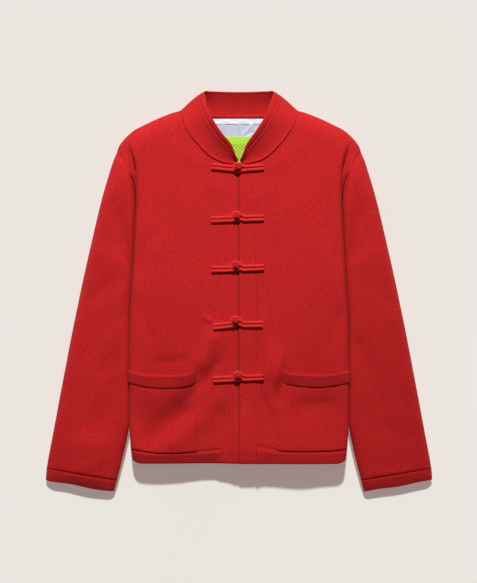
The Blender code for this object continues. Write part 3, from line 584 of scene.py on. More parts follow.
# ---- Front strips ----------------------------------------------------------
# Each front edge runs on past the hem band as a plain strip, the same knit as the
# panel, turned at the hem.
STRIP_TOP_Y = BAND_Y + 13.0
STRIP_TURN = 2.0                       # drop of its edge where it is turned at the hem
STRIP_PROUD, STRIP_SINK = 0.15, 0.6    # above the panel, and down into it at the top
strip_rows = np.linspace(0.0, row_of(STRIP_TOP_Y), 26)
for side, name in ((-1, "right_strip"), (1, "left_strip")):
    xs = np.linspace(0.0, FACING_X + 0.9, 18)
    grid = front(xs[None, :] / HEM_HALF, strip_rows[:, None], side)
    grid[..., 0] = side * xs
    grid[..., 2] -= STRIP_TURN * (1.0 - roll((grid[..., 1] - HEM_Y) / 3.0))
    grid[..., 2] += STRIP_PROUD - STRIP_SINK * smooth(BAND_Y + 4.0, STRIP_TOP_Y, grid[..., 1])
    piece = cloth(name, grid, panel_knit, flip=side < 0, plan=True)
    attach(piece, "root")


# ---- Hem bands -------------------------------------------------------------
# Doubled knitted bands, joined to the panels by a linked seam. Each front band
# ends at the strip, and the back band runs from side to side.
band_knit = knit_material("band_knit", (0.52, 0.0118, 0.0138), 1.5, 1.15, 0.0002, 0.12)
BAND = BAND_Y - HEM_Y
BAND_SWELL, BAND_TURN = 4.4, 1.6
band_down = np.r_[0, 0.15, 0.4, 0.8, 1.3, 1.9, 2.6, 3.5, 4.6, 6.5, 9, 12, 15, 18, 20, 21.2,
                  BAND]
for side, name, node, foot_lift in (
        (-1, "right_hem", "hem_right", -0.9), (1, "left_hem", "hem_left", 4.5)):
    first = (FACING_X + 0.6) / HEM_HALF
    across = np.r_[np.linspace(first, 0.905, 70), roll_columns]
    top = seam_y(side * across * BAND_HALF)
    y = HEM_Y + (top - HEM_Y)[None, :] * (1.0 - band_down / BAND)[:, None]
    grid = front(across[None, :], row_of(y), side)
    # The band is low at the seam, swells below it and turns under at its foot,
    # which stands higher on the left front.
    raised = BAND_SWELL * smooth(-1.4, 5.0, band_down) - BAND_SWELL / 2.0
    raised = raised - BAND_TURN * (1.0 - roll((BAND - band_down) / 3.0))
    raised = raised + foot_lift * band_down / BAND
    grid[..., 2] += raised[:, None]
    piece = cloth(name, grid[::-1], band_knit, wall=2.6, flip=side < 0)
    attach(piece, "root")
    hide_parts(node)


# ---- Back ------------------------------------------------------------------
# One panel that lies on the floor, its sides and shoulders turned up to the
# seams, with its own hem band.
BACK_NECK_Y = 305.0
HEM_PEEK = 4.5         # how far the back's hem shows below the fronts'
BACK_NECK = ((0, 305), (35, 305.5), (60, 308), (85, 312), (103.5, 316))    # x, y
NECK_SHARE = 0.4376    # where the neck ends on the back's top edge
SLEEVE_TUCK = 6.5    # the back rises this far over the sleeve's tucked edge
BACK_ARMHOLE_Z = ((51, 22.4), (66, 11), (80, 3.5), (95, 0), (245, 0))    # y, z


def back(u, v):
    """Outer points of the back's left half: u 0 centre to 1 side."""
    u, v = np.broadcast_arrays(np.asarray(u, float), np.asarray(v, float))
    outer = outer_edge(v)
    centre = np.interp(v, (0, 1, 2, 3), (HEM_Y, UNDERARM_Y, THROAT_Y, BACK_NECK_Y))
    inner = np.stack([np.zeros_like(centre), centre], -1)
    plan = inner + u[..., None] * (outer - inner)
    at_neck = np.clip(u / NECK_SHARE, 0.0, 1.0)
    past_neck = np.clip((u - NECK_SHARE) / (1.0 - NECK_SHARE), 0.0, 1.0)
    top = np.where((u < NECK_SHARE)[..., None], along(BACK_NECK, at_neck),
                   along(SHOULDER, past_neck))
    first, last = np.array(BACK_NECK[0], float), np.array(SHOULDER[-1], float)
    chord = first * (1.0 - u[..., None]) + last * u[..., None]
    plan += smooth(1.6, 3.0, v)[..., None] * (top - chord)
    x, y = within(plan[..., 0], plan[..., 1])
    y = y + corner_lift(u, v)
    lift = SLEEVE_TUCK * (1.0 - smooth(34.0, 62.0, (1.0 - u) * HALF_WIDTH))
    lift = lift * smooth(-252.0, -226.0, y) * (1.0 - smooth(51.0, 95.0, y))
    rim = np.where(v > 1.0, curve(BACK_ARMHOLE_Z, outer[..., 1])[..., 0], SIDE_Z - 0.2)
    share = (1.0 - u) / SIDE_ROLL
    edge = 1.0 - roll(share, SIDE_CURL)
    edge = edge + (np.clip(1.0 - share, 0, None) ** 2 - edge) * smooth(1.0, 1.1, v)
    z = lift + (rim - lift) * edge
    away = to_line(silhouette, x, y)
    z = z + np.where(v > 1.6, (SHOULDER_Z - 0.2) * (1.0 - roll(away / SHOULDER_ROLL)), 0.0)
    return np.stack([x, y, np.maximum(z, 0.05)], -1)


half = np.r_[np.linspace(0.0, NECK_SHARE, 18)[:-1], np.linspace(NECK_SHARE, 0.905, 22),
             roll_columns]
back_rows = np.r_[np.linspace(row_of(BAND_Y), 1.0, 46)[:-1], np.linspace(1.0, 2.76, 34),
                  top_rows]
band_rows = np.linspace(0.0, row_of(BAND_Y), 8)
for name, nodes, values, skin, token, cut, area in (
        ("back_panel", ("back", "back_top"), back_rows, panel_knit, "knit", (0.430, 0.610), 0.231),
        ("back_band", ("hem_back",), band_rows, band_knit, "band", (0.390, 0.025), None)):
    right = back(half[None, ::-1], values[:, None])
    right[..., 0] *= -1.0
    grid = np.concatenate([right[:, :-1], back(half[None, :], values[:, None])], axis=1)
    if name == "back_band":
        # Beside the front edges the back's hem hangs a little lower.
        peek = smooth(-8.0, 12.0, grid[..., 0]) * (1.0 - smooth(58.0, 80.0, grid[..., 0]))
        grid[..., 1] -= HEM_PEEK * peek * (1.0 - values / values[-1])[:, None]
    piece = cloth(name, grid, skin, flip=True, plan=True)
    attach(piece, "root")
    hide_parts(*nodes)


# ---- Sleeves and cuffs -----------------------------------------------------
# Plain tubes set into the armholes, lying beside the body with their inner edge
# tucked under it. A doubled band closes each wrist.
SLEEVE_INNER = (  # y, x
    (-352, 219), (-334, 214.5), (-306, 207.3), (-278, 200.5), (-255, 195.6), (-235, 191.4),
)
ARM_CROWN = (  # y of the outer edge, z of the top, z of the outer fold
    (-331, 19, 8), (-321, 22.5, 10.5), (-311, 24.5, 12), (-290, 25.5, 13), (-200, 29, 15),
    (-60, 34.5, 17), (80, 38.5, 18), (170, 37, 17), (215, 33, 15), (245, 28, 12.8),
)
INNER_FOLD_Z = (  # y, z
    (-352, 8), (-330, 13), (-300, 15), (-235, 19), (-180, 20), (51, 20), (245, 20),
)
SLEEVE_FOLDS = (  # x0, y0, x1, y1, height, widths; the right arm's x are negative
    (-206, 150, -218, 70, -2.2, 9, 12),
    (-228, 190, -246, 110, 1.8, 9, 12),
    (-214, 24, -262, -20, -2.4, 12, 16),
    (-204, 10, -214, -40, 2.0, 9, 9),
    (-206, -60, -232, -92, 1.6, 12, 14),
    (-250, -60, -276, -130, -1.6, 14, 14),
    (-206, -110, -246, -150, -2.0, 14, 16),
    (-262, -250, -272, -345, 7.5, 34, 30),
    (-214, -150, -250, -240, -3.0, 16, 18),
    (-222, -196, -240, -262, -2.2, 14, 16),
    (-226, -290, -300, -322, 1.4, 10, 8),
    (206, 160, 226, 70, -1.8, 9, 12),
    (240, 150, 250, 90, 1.5, 10, 12),
    (222, 20, 262, -24, -1.6, 14, 16),
    (202, -80, 232, -150, -3.8, 14, 16),
    (300, -20, 262, -60, 1.6, 16, 12),
    (224, -150, 250, -210, -2.4, 16, 18),
    (262, -100, 290, -180, 1.6, 18, 16),
    (214, -200, 236, -262, -2.2, 14, 16),
    (246, -230, 300, -262, -2.0, 16, 14),
    (236, -320, 300, -316, 1.5, 7, 7),
)
FAN, CUFF_SHARE = 0.3, 0.9485    # shares of the rings at the end of the fan and the cuff
FAN_INNER, FAN_OUTER = 11.0, 180.0    # the fan's length at the inner and the outer edge
WRIST_INNER_Y, WRIST_OUTER_Y = -352.0, -331.0
ARM_ROLL, INNER_ROLL = 16.0, 13.0    # widths of the outer and the inner rounded edge
SLEEVE_CROWN = 36.0                  # height of the sleeve's top where the fan ends
HEAD_LENGTH, HEAD_DIP = 60.0, 3.5    # run of the fan, and its dip at the armhole seam
CUFF_RUN, CUFF_PINCH = 395.0, 0.11   # sleeve below the fan, and its draw at the cuff seam
CUFF_WAVE = 0.9                      # of the cuff's lower edge
TUCK_Z, TUCK_CLIMB = 5.7, 16.3       # top of the tucked edge, and its climb to the rim


def sleeve_inner_x(y):
    """The sleeve's inner edge."""
    below = curve(SLEEVE_INNER, y)[..., 0]
    # Beside the body the sleeve's edge reaches just under the body's.
    return np.where(y >= -235.0, curve(SIDE, y)[..., 0] - 0.5, below)


def ring_plan(q, s):
    """Plan of a sleeve ring: q 0 inner to 1 outer end, s 0 armhole to 1 cuff."""
    turn = np.clip(s / FAN, 0.0, 1.0)
    run = np.clip((s - FAN) / (1.0 - FAN), 0.0, None)
    inner_y = UNDERARM_Y - FAN_INNER * turn + (WRIST_INNER_Y - UNDERARM_Y + FAN_INNER) * run
    outer_y = SHOULDER_Y - FAN_OUTER * turn + (WRIST_OUTER_Y - SHOULDER_Y + FAN_OUTER) * run
    inner = np.stack([sleeve_inner_x(inner_y), inner_y], -1)
    outer = np.stack([curve(SLEEVE_OUTER, outer_y)[..., 0], outer_y], -1)
    plan = inner + q[..., None] * (outer - inner)
    armhole_y = UNDERARM_Y + (SHOULDER_Y - UNDERARM_Y) * q
    armhole = np.stack([sleeve_inner_x(armhole_y), armhole_y], -1)
    first = np.array([sleeve_inner_x(UNDERARM_Y), UNDERARM_Y])
    last = np.array([SLEEVE_OUTER[-1][1], SHOULDER_Y])
    bend = (1.0 - turn)[..., None] ** 1.5
    plan += (armhole - first - q[..., None] * (last - first)) * bend
    return plan[..., 0], plan[..., 1], outer_y, turn


def sleeve_top(q, s, side):
    """Points of the sleeve's upper face."""
    x, y, level, turn = ring_plan(q, s)
    top, outer_fold = np.moveaxis(curve(ARM_CROWN, level), -1, 0)
    away = smooth(0.0, 0.5, turn)
    top = top + (SLEEVE_CROWN - top) * (1.0 - smooth(0.7, 1.0, turn))
    crown = curve(CROWN, y)[..., 0]
    top = crown + (top - crown) * away + fold_height(side * x, y, SLEEVE_FOLDS) * away
    rim = SHOULDER_Z + (outer_fold - SHOULDER_Z) * away
    width = SHOULDER_ROLL - (SHOULDER_ROLL - ARM_ROLL) * away
    free = rim + (top - rim) * roll(to_line(silhouette, x, y) / width)
    # The seam draws the sleeve's head down beside the shoulder.
    drawn = np.exp(-((s / FAN * HEAD_LENGTH / 2.0) ** 2))
    free = free - HEAD_DIP * drawn * smooth(176.0, 198.0, y)
    inner_rim = curve(INNER_FOLD_Z, y)[..., 0]
    low = inner_rim + (free - inner_rim) * smooth(*ARMHOLE_OPENS, y)
    z = low + (free - low) * roll((x - sleeve_inner_x(y)) / INNER_ROLL)
    return np.stack([x, y, z], -1)


def sleeve_under(q, s):
    """Points of the sleeve's face on the floor."""
    x, y, level, turn = ring_plan(q, s)
    outer_fold = curve(ARM_CROWN, level)[..., 1]
    away = smooth(0.0, 0.5, turn)
    above = curve(BACK_ARMHOLE_Z, y)[..., 0]
    inner_rim = np.where(y <= UNDERARM_Y, curve(INNER_FOLD_Z, y)[..., 0], above)
    near = np.clip(1.0 - (x - sleeve_inner_x(y)) / 12.0, 0.0, 1.0)
    edge = near**2 + (1.0 - roll(1.0 - near) - near**2) * smooth(0.8, 1.0, turn)
    rim = SHOULDER_Z + (outer_fold - SHOULDER_Z) * away
    width = SHOULDER_ROLL - (SHOULDER_ROLL - ARM_ROLL) * away
    z = rim * (1.0 - roll(to_line(silhouette, x, y) / width))
    return np.stack([x, y, np.maximum(np.maximum(z, inner_rim * edge), 0.05)], -1)


def tucked_edge(y):
    """Edge of the sleeve that lies under the body, from its foot to the rim."""
    x = curve(SIDE, y)[..., 0]
    angle = np.radians((90.0, 66.0, 44.0, 26.0, 12.0))
    climb = [(x - 16.0 * (1.0 - math.cos(a)) + 0.8 * math.cos(a),
              TUCK_Z + TUCK_CLIMB * (1.0 - math.sin(a))) for a in angle]
    foot = [(x - in_by, z) for in_by, z in (
        (9.0, 0.05), (27.0, 0.05), (29.0, 0.6), (29.9, 2.8), (29.0, 5.1), (27.0, TUCK_Z),
        (21.0, TUCK_Z))]
    return np.stack([np.stack([a, y, z + 0 * y], -1) for a, z in foot + climb], 1)


def sleeve_rings(shares, side):
    """Rings round the sleeve: over the top, back under it, and round its inner edge."""
    turn = np.r_[0.0, 0.004, 0.013, 0.027, 0.045, 0.066, 0.09]
    top = np.r_[turn, np.linspace(0.12, 0.82, 34), 1.0 - 0.16 * (1.0 - np.cos(
        np.radians(np.arange(84, -1, -7))))]
    under = np.r_[1.0 - 0.16 * (1.0 - np.cos(np.radians(np.arange(8, 89, 10)))),
                  np.linspace(0.8, 0.3, 10)]
    low = np.array([0.24, 0.2, 0.165, 0.135, 0.11, 0.088, 0.07, 0.053, 0.038, 0.025,
                    0.014, 0.006])
    s = shares[:, None]
    edge = sleeve_under(np.broadcast_to(low, (len(shares), len(low))), s)
    inner_y = ring_plan(np.zeros_like(shares), shares)[1]
    level = (shares >= FAN)[:, None, None]
    blend = (smooth(-222.0, -196.0, inner_y) * (1.0 - smooth(30.0, 40.0, inner_y)))
    edge = edge + (tucked_edge(inner_y) - edge) * blend[:, None, None] * level
    parts = [sleeve_top(np.broadcast_to(top, (len(shares), len(top))), s, side),
             sleeve_under(np.broadcast_to(under, (len(shares), len(under))), s), edge]
    return np.concatenate(parts, axis=1)


def narrowed(grid, shares):
    """Rings with their heights from their middle multiplied by a share for each."""
    middle = grid.mean(axis=1, keepdims=True)[..., 2]
    grid[..., 2] = middle + (grid[..., 2] - middle) * shares[:, None]
    return grid


arm_shares = np.r_[FAN * np.linspace(0, 1, 34)[:-1] ** 1.2,
                   FAN + (1.0 - FAN) * np.linspace(0.0, CUFF_SHARE, 84)]
cuff_run = CUFF_SHARE + (1.0 - CUFF_SHARE) * np.array(
    [0, 0.015, 0.04, 0.09, 0.16, 0.3, 0.5, 0.7, 0.84, 0.93, 1.0])
for side, hand in ((-1, "right"), (1, "left")):
    near_cuff = np.clip((arm_shares - FAN) / (1.0 - FAN) - CUFF_SHARE, None, 0.0) * CUFF_RUN
    pull = 1.0 - CUFF_PINCH * np.exp(-((near_cuff / 2.6) ** 2))
    grid = narrowed(sleeve_rings(arm_shares, side), pull)
    grid[..., 0] *= side
    piece = cloth(hand + "_sleeve", grid, panel_knit, closed=True, flip=side > 0)
    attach(piece, "root")
    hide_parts("sleeve_" + hand)

    # The cuff is drawn in at its seam, swells below it and narrows at its edge.
    share = (cuff_run - CUFF_SHARE) / (1.0 - CUFF_SHARE)
    swell = 0.9 + 0.18 * roll(share / 0.22) - 0.08 * smooth(0.75, 1.0, share)
    grid = narrowed(sleeve_rings(FAN + (1.0 - FAN) * cuff_run, side), swell)
    grid[..., 2] = np.maximum(grid[..., 2], 0.05)
    grid[..., 1] += CUFF_WAVE * share[:, None] * np.sin(grid[..., 0] / 13.0 + 2.0 * side)
    grid[..., 0] *= side
    piece = cloth(hand + "_cuff", grid, band_knit, closed=True, flip=side > 0)
    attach(piece, "root")
    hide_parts("cuff_" + hand)


# ---- Collar ----------------------------------------------------------------
# A standing band of doubled knit that leans out round the neck, with a turned
# edge and a raised linked seam where it joins the body.
COLLAR = (  # part of the neck seam (0-1 front, 1-2 back), x, y, z of the edge
    (0.02, 3.4, 227, 51), (0.13, 8, 240, 54.5), (0.27, 13.5, 254.5, 57),
    (0.40, 25, 270.5, 58), (0.56, 38, 290, 56), (0.74, 47, 307, 50),
    (0.88, 54, 328, 36.5), (1.00, 60, 348.5, 20), (1.16, 51, 350.5, 12),
    (1.50, 29, 350, 9), (2.00, 0, 349.5, 8.5),
)
COLLAR_WIDTH, RIGHT_WIDER = 44.0, 3.0
RIDGE_AT, FOLD_AT, TURNED_AT = 33.4, 35.4, 35.2    # lines of the turned edge, from the seam
BEAD, RIDGE, FOLD = 2.9, 0.9, 1.1    # heights of the seam's bead and the edge's ridge and fold
EDGE_THICK, EDGE_ROUND = 0.7, 1.4    # rise of the turned edge, and its fall at the very end
FRONT_SAG, BACK_SAG = 4.4, 3.0       # hollow between the seam and the edge
PROUD_OUT, PROUD_UP = 1.9, 2.2       # where the band folds over at the shoulder
RIB = 0.35                           # height of the soft ribs across the back neck
parts = np.r_[np.linspace(0.02, 0.8, 46)[:-1], np.linspace(0.8, 1.25, 40)[:-1],
              np.linspace(1.25, 2.0, 36)]
widths = np.array([0, 0.009, 0.018, 0.03, 0.045, 0.06, 0.08, 0.11, 0.16, 0.22, 0.29, 0.36,
                   0.43, 0.5, 0.57, 0.64, 0.7, 0.73, 0.755, 0.775, 0.79, 0.8, 0.81, 0.825,
                   0.85, 0.88, 0.92, 0.955, 0.98, 1.0])


def collar_half(side):
    """Points of half the band, from the centre front to the centre back."""
    front_part = np.clip(parts, 0.0, 1.0)
    seam = along(NECKLINE, front_part)
    rim_z = front(np.zeros_like(parts), 2.0 + front_part, side)[:, 2]
    back_seam = along(BACK_NECK, np.clip(2.0 - parts, 0.0, 1.0))
    at_back = (parts > 1.0)[:, None]
    seam = np.where(at_back, back_seam, seam)
    rim_z = np.where(parts > 1.0, 0.6 + smooth(70, 103.5, seam[:, 0]) * 12.2, rim_z)
    seam = np.column_stack([side * seam[:, 0], seam[:, 1], rim_z])
    edge = curve(COLLAR, parts)
    edge[:, 0] *= side
    # The right front's edge stands a little wider than the left one's.
    wider = smooth(0.2, 0.45, parts) * (1.0 - smooth(0.85, 1.0, parts))
    edge[:, 0] -= RIGHT_WIDER * (1 - side) / 2 * wider
    w = widths[None, :, None]
    grid = seam[:, None] + (edge - seam)[:, None] * w
    sag = BACK_SAG + (FRONT_SAG - BACK_SAG) * (1.0 - smooth(0.55, 0.9, parts))
    grid[..., 2] -= sag[:, None] * np.sin(math.pi * w[..., 0])
    # Where the band folds over at the shoulder it stands a little proud.
    fold = np.exp(-(((parts - 0.97) / 0.13) ** 2))[:, None] * np.sin(math.pi * w[..., 0] ** 1.4)
    grid[..., 0] += side * PROUD_OUT * fold
    grid[..., 1] += PROUD_UP * fold
    return grid


grid = np.concatenate([collar_half(-1), collar_half(1)[-2::-1]], axis=0)
normal = np.cross(np.gradient(grid, axis=1), np.gradient(grid, axis=0))
normal /= np.linalg.norm(normal, axis=-1, keepdims=True)
out = COLLAR_WIDTH * widths
bead = BEAD * smooth(0.0, 0.8, out) * (1.0 - smooth(0.8, 4.8, out))
bulge = RIDGE * np.exp(-(((out - RIDGE_AT) / 1.3) ** 2))
bulge -= FOLD * np.exp(-(((out - FOLD_AT) / 0.8) ** 2))
bulge += EDGE_THICK * roll((out - TURNED_AT) / 3.0) * (out > TURNED_AT)
bulge -= EDGE_ROUND * (1.0 - roll((COLLAR_WIDTH - out) / 2.4))
half_round = np.r_[parts, parts[-2::-1]]
at_front = 1.0 - smooth(0.95, 1.1, half_round)
beaded = 1.0 - smooth(0.72, 0.98, half_round)
raised = at_front[:, None] * bulge[None, :] + beaded[:, None] * bead[None, :]
grid += normal * raised[..., None]
# Across the back neck the band's inner face shows: a turned edge, a few soft ribs
# where it is drawn in, and the seam's ridge at its foot.
at_back = 1.0 - at_front
across = grid[..., 0]
rib = RIB * np.sin(across / 1.9 + 0.8 * np.sin(across / 13.0)) * np.sin(math.pi * widths)
inner = 2.0 * np.exp(-(((out - 1.6) / 1.2) ** 2))
inner -= 0.3 * np.exp(-(((out - 38.5) / 0.9) ** 2))
grid[..., 2] += at_back[:, None] * (rib + inner)
grid[..., 2] = np.maximum(grid[..., 2], 0.3)
collar = cloth("collar_band", grid, band_knit, wall=2.8)
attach(collar, "root")
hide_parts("collar")


# ---- Pockets ---------------------------------------------------------------
# Patch pockets between side seam, hem band and mouth. Each mouth sags and gapes a
# little, and carries a doubled band.
MOUTH_Y, MOUTH_BAND, POCKET_SIDE = -136.2, 22.0, 0.983
POCKET_MIDDLE, POCKET_HALF = 131.0, 58.0    # x of its middle, half its width
POCKET_LIE, BAG_DEPTH = 1.5, 70.0    # height on the front, how far down it stands off
GAPE, LIP = 7.5, 3.6                 # at the mouth's edge, and that edge's own swell
SEWN_GAP = 0.12                      # between pocket and front where they are sewn
POCKETS = {  # side: inner edge at mouth, inner edge at hem, sag, how far it stands off
    -1: (0.385, 0.385, 11.0, 10.5),
    1: (0.385, 0.35, 9.0, 7.0),
}


def moved_out(u, v, side, distance):
    """Points of a front moved out along its normal."""
    step = 0.003
    across = front(u + step, v, side) - front(u - step, v, side)
    upward = front(u, v + step, side) - front(u, v - step, side)
    normal = np.cross(across, upward)
    normal /= np.linalg.norm(normal, axis=-1, keepdims=True)
    normal *= np.sign(normal[..., 2:])
    return front(u, v, side) + normal * distance[..., None]


for side, hand in ((-1, "right"), (1, "left")):
    mouth_in, hem_in, sag, bag = POCKETS[side]
    share = 1.0 - (1.0 - np.linspace(0.0, 1.0, 56)) ** 1.25
    x = HALF_WIDTH * (mouth_in + (POCKET_SIDE - mouth_in) * share)
    bow = np.clip(1.0 - ((x - POCKET_MIDDLE) / POCKET_HALF) ** 2, 0.0, None)
    top = MOUTH_Y - sag * bow
    depth = np.r_[0.0, 0.4, 1.0, 2.0, 3.5, 6.0, 10.0, 15.0, np.linspace(21, 118.0, 34)]
    seam = (top - MOUTH_BAND)[None, :]
    foot_y = seam_y(side * x)[None, :] + 0.4
    y = seam + (foot_y - seam) * (depth / depth[-1])[:, None]
    along_side = (y - BAND_Y) / (MOUTH_Y - BAND_Y)
    first = hem_in + (mouth_in - hem_in) * along_side
    u = first + (POCKET_SIDE - first) * share[None, :]
    slack = np.clip(1.0 - ((x - POCKET_MIDDLE) / POCKET_HALF) ** 4, 0.0, None)[None, :]
    lie = POCKET_LIE + bag * slack * (1.0 - smooth(0.0, BAG_DEPTH, depth))[:, None]
    lie = lie - 0.3 * np.exp(-((depth / 1.6) ** 2))[:, None]
    lie = SEWN_GAP + lie * smooth(0.0, 0.085, share)[None, :]
    grid = moved_out(u, row_of(y), side, lie)
    piece = cloth(hand + "_pocket", grid[::-1], panel_knit, wall=1.8, flip=side < 0, plan=True)
    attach(piece, "root")
    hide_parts("pocket_" + hand)

    down = MOUTH_BAND * np.array(
        [0.0, 0.03, 0.06, 0.1, 0.14, 0.19, 0.25, 0.4, 0.55, 0.7, 0.85, 0.93, 0.98, 1.0])
    gape = (bag + GAPE * (1.0 - down / MOUTH_BAND)[:, None]) * slack
    edge = LIP * smooth(-1.2, 4.0, down) - 1.0 * (1.0 - roll((MOUTH_BAND - down) / 2.4))
    lie = SEWN_GAP + (0.4 + gape + edge[:, None]) * smooth(-0.02, 0.09, share)[None, :]
    grid = moved_out(np.broadcast_to(mouth_in + (POCKET_SIDE - mouth_in) * share, lie.shape),
                     row_of(top[None, :] - down[:, None]), side, lie)
    piece = cloth(hand + "_mouth", grid[::-1], band_knit, wall=2.2, flip=side < 0)
    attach(piece, "root")
    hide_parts("pocket_band_" + hand)


# ---- Stitches --------------------------------------------------------------
# Sewing in the cloth's own red: a line of short stitches down each pocket's inner
# side, one along the left front's facing, and small ladder stitches across the
# right front's facing below the fourth frog.
STITCH_LINES = (  # front, u and y at one end, u and y at the other, distance, spacing
    (-1, 0.232, -170.0, 0.232, -272.0, 0.25, 4.4),
    (1, 0.205, -166.0, 0.19, -270.0, 0.25, 4.4),
    (1, 0.159, 196.0, 0.159, -266.0, 0.0, 4.6),
    (-1, 0.05, -166.0, 0.05, -294.0, 0.2, 5.2),
    (-1, 0.087, -166.0, 0.087, -294.0, 0.2, 5.2),
)
thread, shader, tree = new_material("thread", 0.7)
shader.inputs["Base Color"].default_value = (0.36, 0.008, 0.010, 1.0)


def stitching():
    """Geometry nodes that set short stitches along a line, turned to follow it."""
    group = bpy.data.node_groups.new("stitching", "GeometryNodeTree")
    group.interface.new_socket("Geometry", in_out="INPUT", socket_type="NodeSocketGeometry")
    group.interface.new_socket("Spacing", in_out="INPUT", socket_type="NodeSocketFloat")
    group.interface.new_socket("Stitch", in_out="INPUT", socket_type="NodeSocketVector")
    group.interface.new_socket("Geometry", in_out="OUTPUT", socket_type="NodeSocketGeometry")
    made = {}
    for kind in ("NodeGroupInput", "GeometryNodeMeshToCurve", "GeometryNodeCurveToPoints",
                 "GeometryNodeMeshCube", "GeometryNodeInstanceOnPoints",
                 "GeometryNodeRealizeInstances", "GeometryNodeSetMaterial", "NodeGroupOutput"):
        made[kind] = group.nodes.new(kind)
    made["GeometryNodeCurveToPoints"].mode = "LENGTH"
    made["GeometryNodeSetMaterial"].inputs["Material"].default_value = thread
    for start, out, end, into in (
            ("NodeGroupInput", "Geometry", "GeometryNodeMeshToCurve", "Mesh"),
            ("NodeGroupInput", "Spacing", "GeometryNodeCurveToPoints", "Length"),
            ("NodeGroupInput", "Stitch", "GeometryNodeMeshCube", "Size"),
            ("GeometryNodeMeshToCurve", "Curve", "GeometryNodeCurveToPoints", "Curve"),
            ("GeometryNodeCurveToPoints", "Points", "GeometryNodeInstanceOnPoints", "Points"),
            ("GeometryNodeCurveToPoints", "Rotation", "GeometryNodeInstanceOnPoints", "Rotation"),
            ("GeometryNodeMeshCube", "Mesh", "GeometryNodeInstanceOnPoints", "Instance"),
            ("GeometryNodeInstanceOnPoints", "Instances", "GeometryNodeRealizeInstances",
             "Geometry"),
            ("GeometryNodeRealizeInstances", "Geometry", "GeometryNodeSetMaterial", "Geometry"),
            ("GeometryNodeSetMaterial", "Geometry", "NodeGroupOutput", "Geometry")):
        group.links.new(made[start].outputs[out], made[end].inputs[into])
    return group


sewing = stitching()
STITCH = (0.0007, 0.0009, 0.0019)    # depth, width and length of a stitch in metres
POINTS = 60
for number, (side, u0, y0, u1, y1, distance, spacing) in enumerate(STITCH_LINES, start=1):
    share = np.linspace(0.0, 1.0, POINTS)
    line = moved_out(u0 + (u1 - u0) * share, row_of(y0 + (y1 - y0) * share), side,
                     np.full(POINTS, distance))
    mesh = bpy.data.meshes.new("stitch_line")
    mesh.from_pydata((line * 0.001).tolist(), [(k, k + 1) for k in range(POINTS - 1)], [])
    drawn_line = bpy.data.objects.new("stitch_line", mesh)
    scene.collection.objects.link(drawn_line)
    sewn = drawn_line.modifiers.new("Stitching", "NODES")
    sewn.node_group = sewing
    sockets = {item.name: item.identifier for item in sewing.interface.items_tree
               if item.in_out == "INPUT"}
    sewn[sockets["Spacing"]] = spacing * 0.001
    sewn[sockets["Stitch"]] = STITCH
    depsgraph = bpy.context.evaluated_depsgraph_get()
    finished = bpy.data.meshes.new_from_object(drawn_line.evaluated_get(depsgraph))
    bpy.data.objects.remove(drawn_line)
    piece = bpy.data.objects.new(f"stitches_{number}", finished)
    scene.collection.objects.link(piece)
    garment.objects.link(piece)
    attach(piece, "root")


# ---- Lining, neck tape and label -------------------------------------------
# Satin half lining on the inside of the back, a white tape under the neck seam,
# and a lime label sewn over both. The label's pattern is generic.
def patch(name, node, rows, height, finish, wall):
    """Patch from rows of (y, first x, last x), at a height worked out from x and y."""
    table = np.array(rows, float)
    y = np.linspace(table[0, 0], table[-1, 0], 60)
    first = np.interp(y, table[:, 0], table[:, 1])
    last = np.interp(y, table[:, 0], table[:, 2])
    x = first[:, None] + (last - first)[:, None] * np.linspace(0.0, 1.0, 70)[None, :]
    y = np.broadcast_to(y[:, None], x.shape)
    piece = cloth(name, np.stack([x, y, height(x, y)], -1), finish, wall=wall)
    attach(piece, "root")
    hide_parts(node)
    return piece


SATIN_FOLDS = (  # x0, y0, x1, y1, height, widths
    (-2, 300, 6, 268, 1.5, 1.6, 2.6), (30, 299, 8, 274, 1.6, 2.2, 1.4),
    (18, 297, 34, 268, 1.1, 1.3, 2.0), (-30, 296, -20, 272, 0.9, 3.0, 3.6),
    (26, 276, 12, 270, 1.3, 1.2, 1.6), (-44, 290, -34, 262, 0.8, 4.0, 3.0),
)
satin, shader, tree = new_material("satin", 0.32)
shader.inputs["Specular IOR Level"].default_value = 0.55
place = tree.nodes.new("ShaderNodeTexCoord").outputs["Object"]
cloud = uneven(tree, place, 40.0, 0.94, 1.06)
tree.links.new(tinted(tree, (0.56, 0.60, 0.72), cloud), shader.inputs["Base Color"])
lining = patch(
    "half_lining", "lining", ((190, -98, 98), (268, -98, 98), (303, -62, 62)),
    lambda x, y: 3.1 + fold_height(x, y, SATIN_FOLDS), satin, 0.6)

white, shader, tree = new_material("white_tape", 0.45)
shader.inputs["Base Color"].default_value = (0.86, 0.88, 0.91, 1.0)
patch(
    "white_tape", "neck_tape", ((294, -68, 68), (302.5, -62, 62)),
    lambda x, y: 4.2 + 0.5 * np.sin(x / 5.0) * np.sin((y - 294.0) / 3.0) ** 2,
    white, 0.8)

woven, shader, tree = new_material("woven_label", 0.6)
place = tree.nodes.new("ShaderNodeTexCoord").outputs["Object"]
parts_xyz = tree.nodes.new("ShaderNodeSeparateXYZ")
tree.links.new(place, parts_xyz.inputs[0])
slant_a = calculate(tree, "ADD", parts_xyz.outputs["X"], parts_xyz.outputs["Y"])
slant_b = calculate(tree, "SUBTRACT", parts_xyz.outputs["X"], parts_xyz.outputs["Y"])
LATTICE = 900.0    # radians a metre
wave_a = calculate(tree, "SINE", calculate(tree, "MULTIPLY", slant_a, LATTICE))
wave_b = calculate(tree, "SINE", calculate(tree, "MULTIPLY", slant_b, LATTICE))
lattice = calculate(tree, "GREATER_THAN", calculate(tree, "MAXIMUM", wave_a, wave_b), 0.86)
lower = calculate(tree, "LESS_THAN", parts_xyz.outputs["Y"], 0.2585)
marks = calculate(tree, "MULTIPLY", calculate(tree, "MULTIPLY", lattice, lower), 0.75)
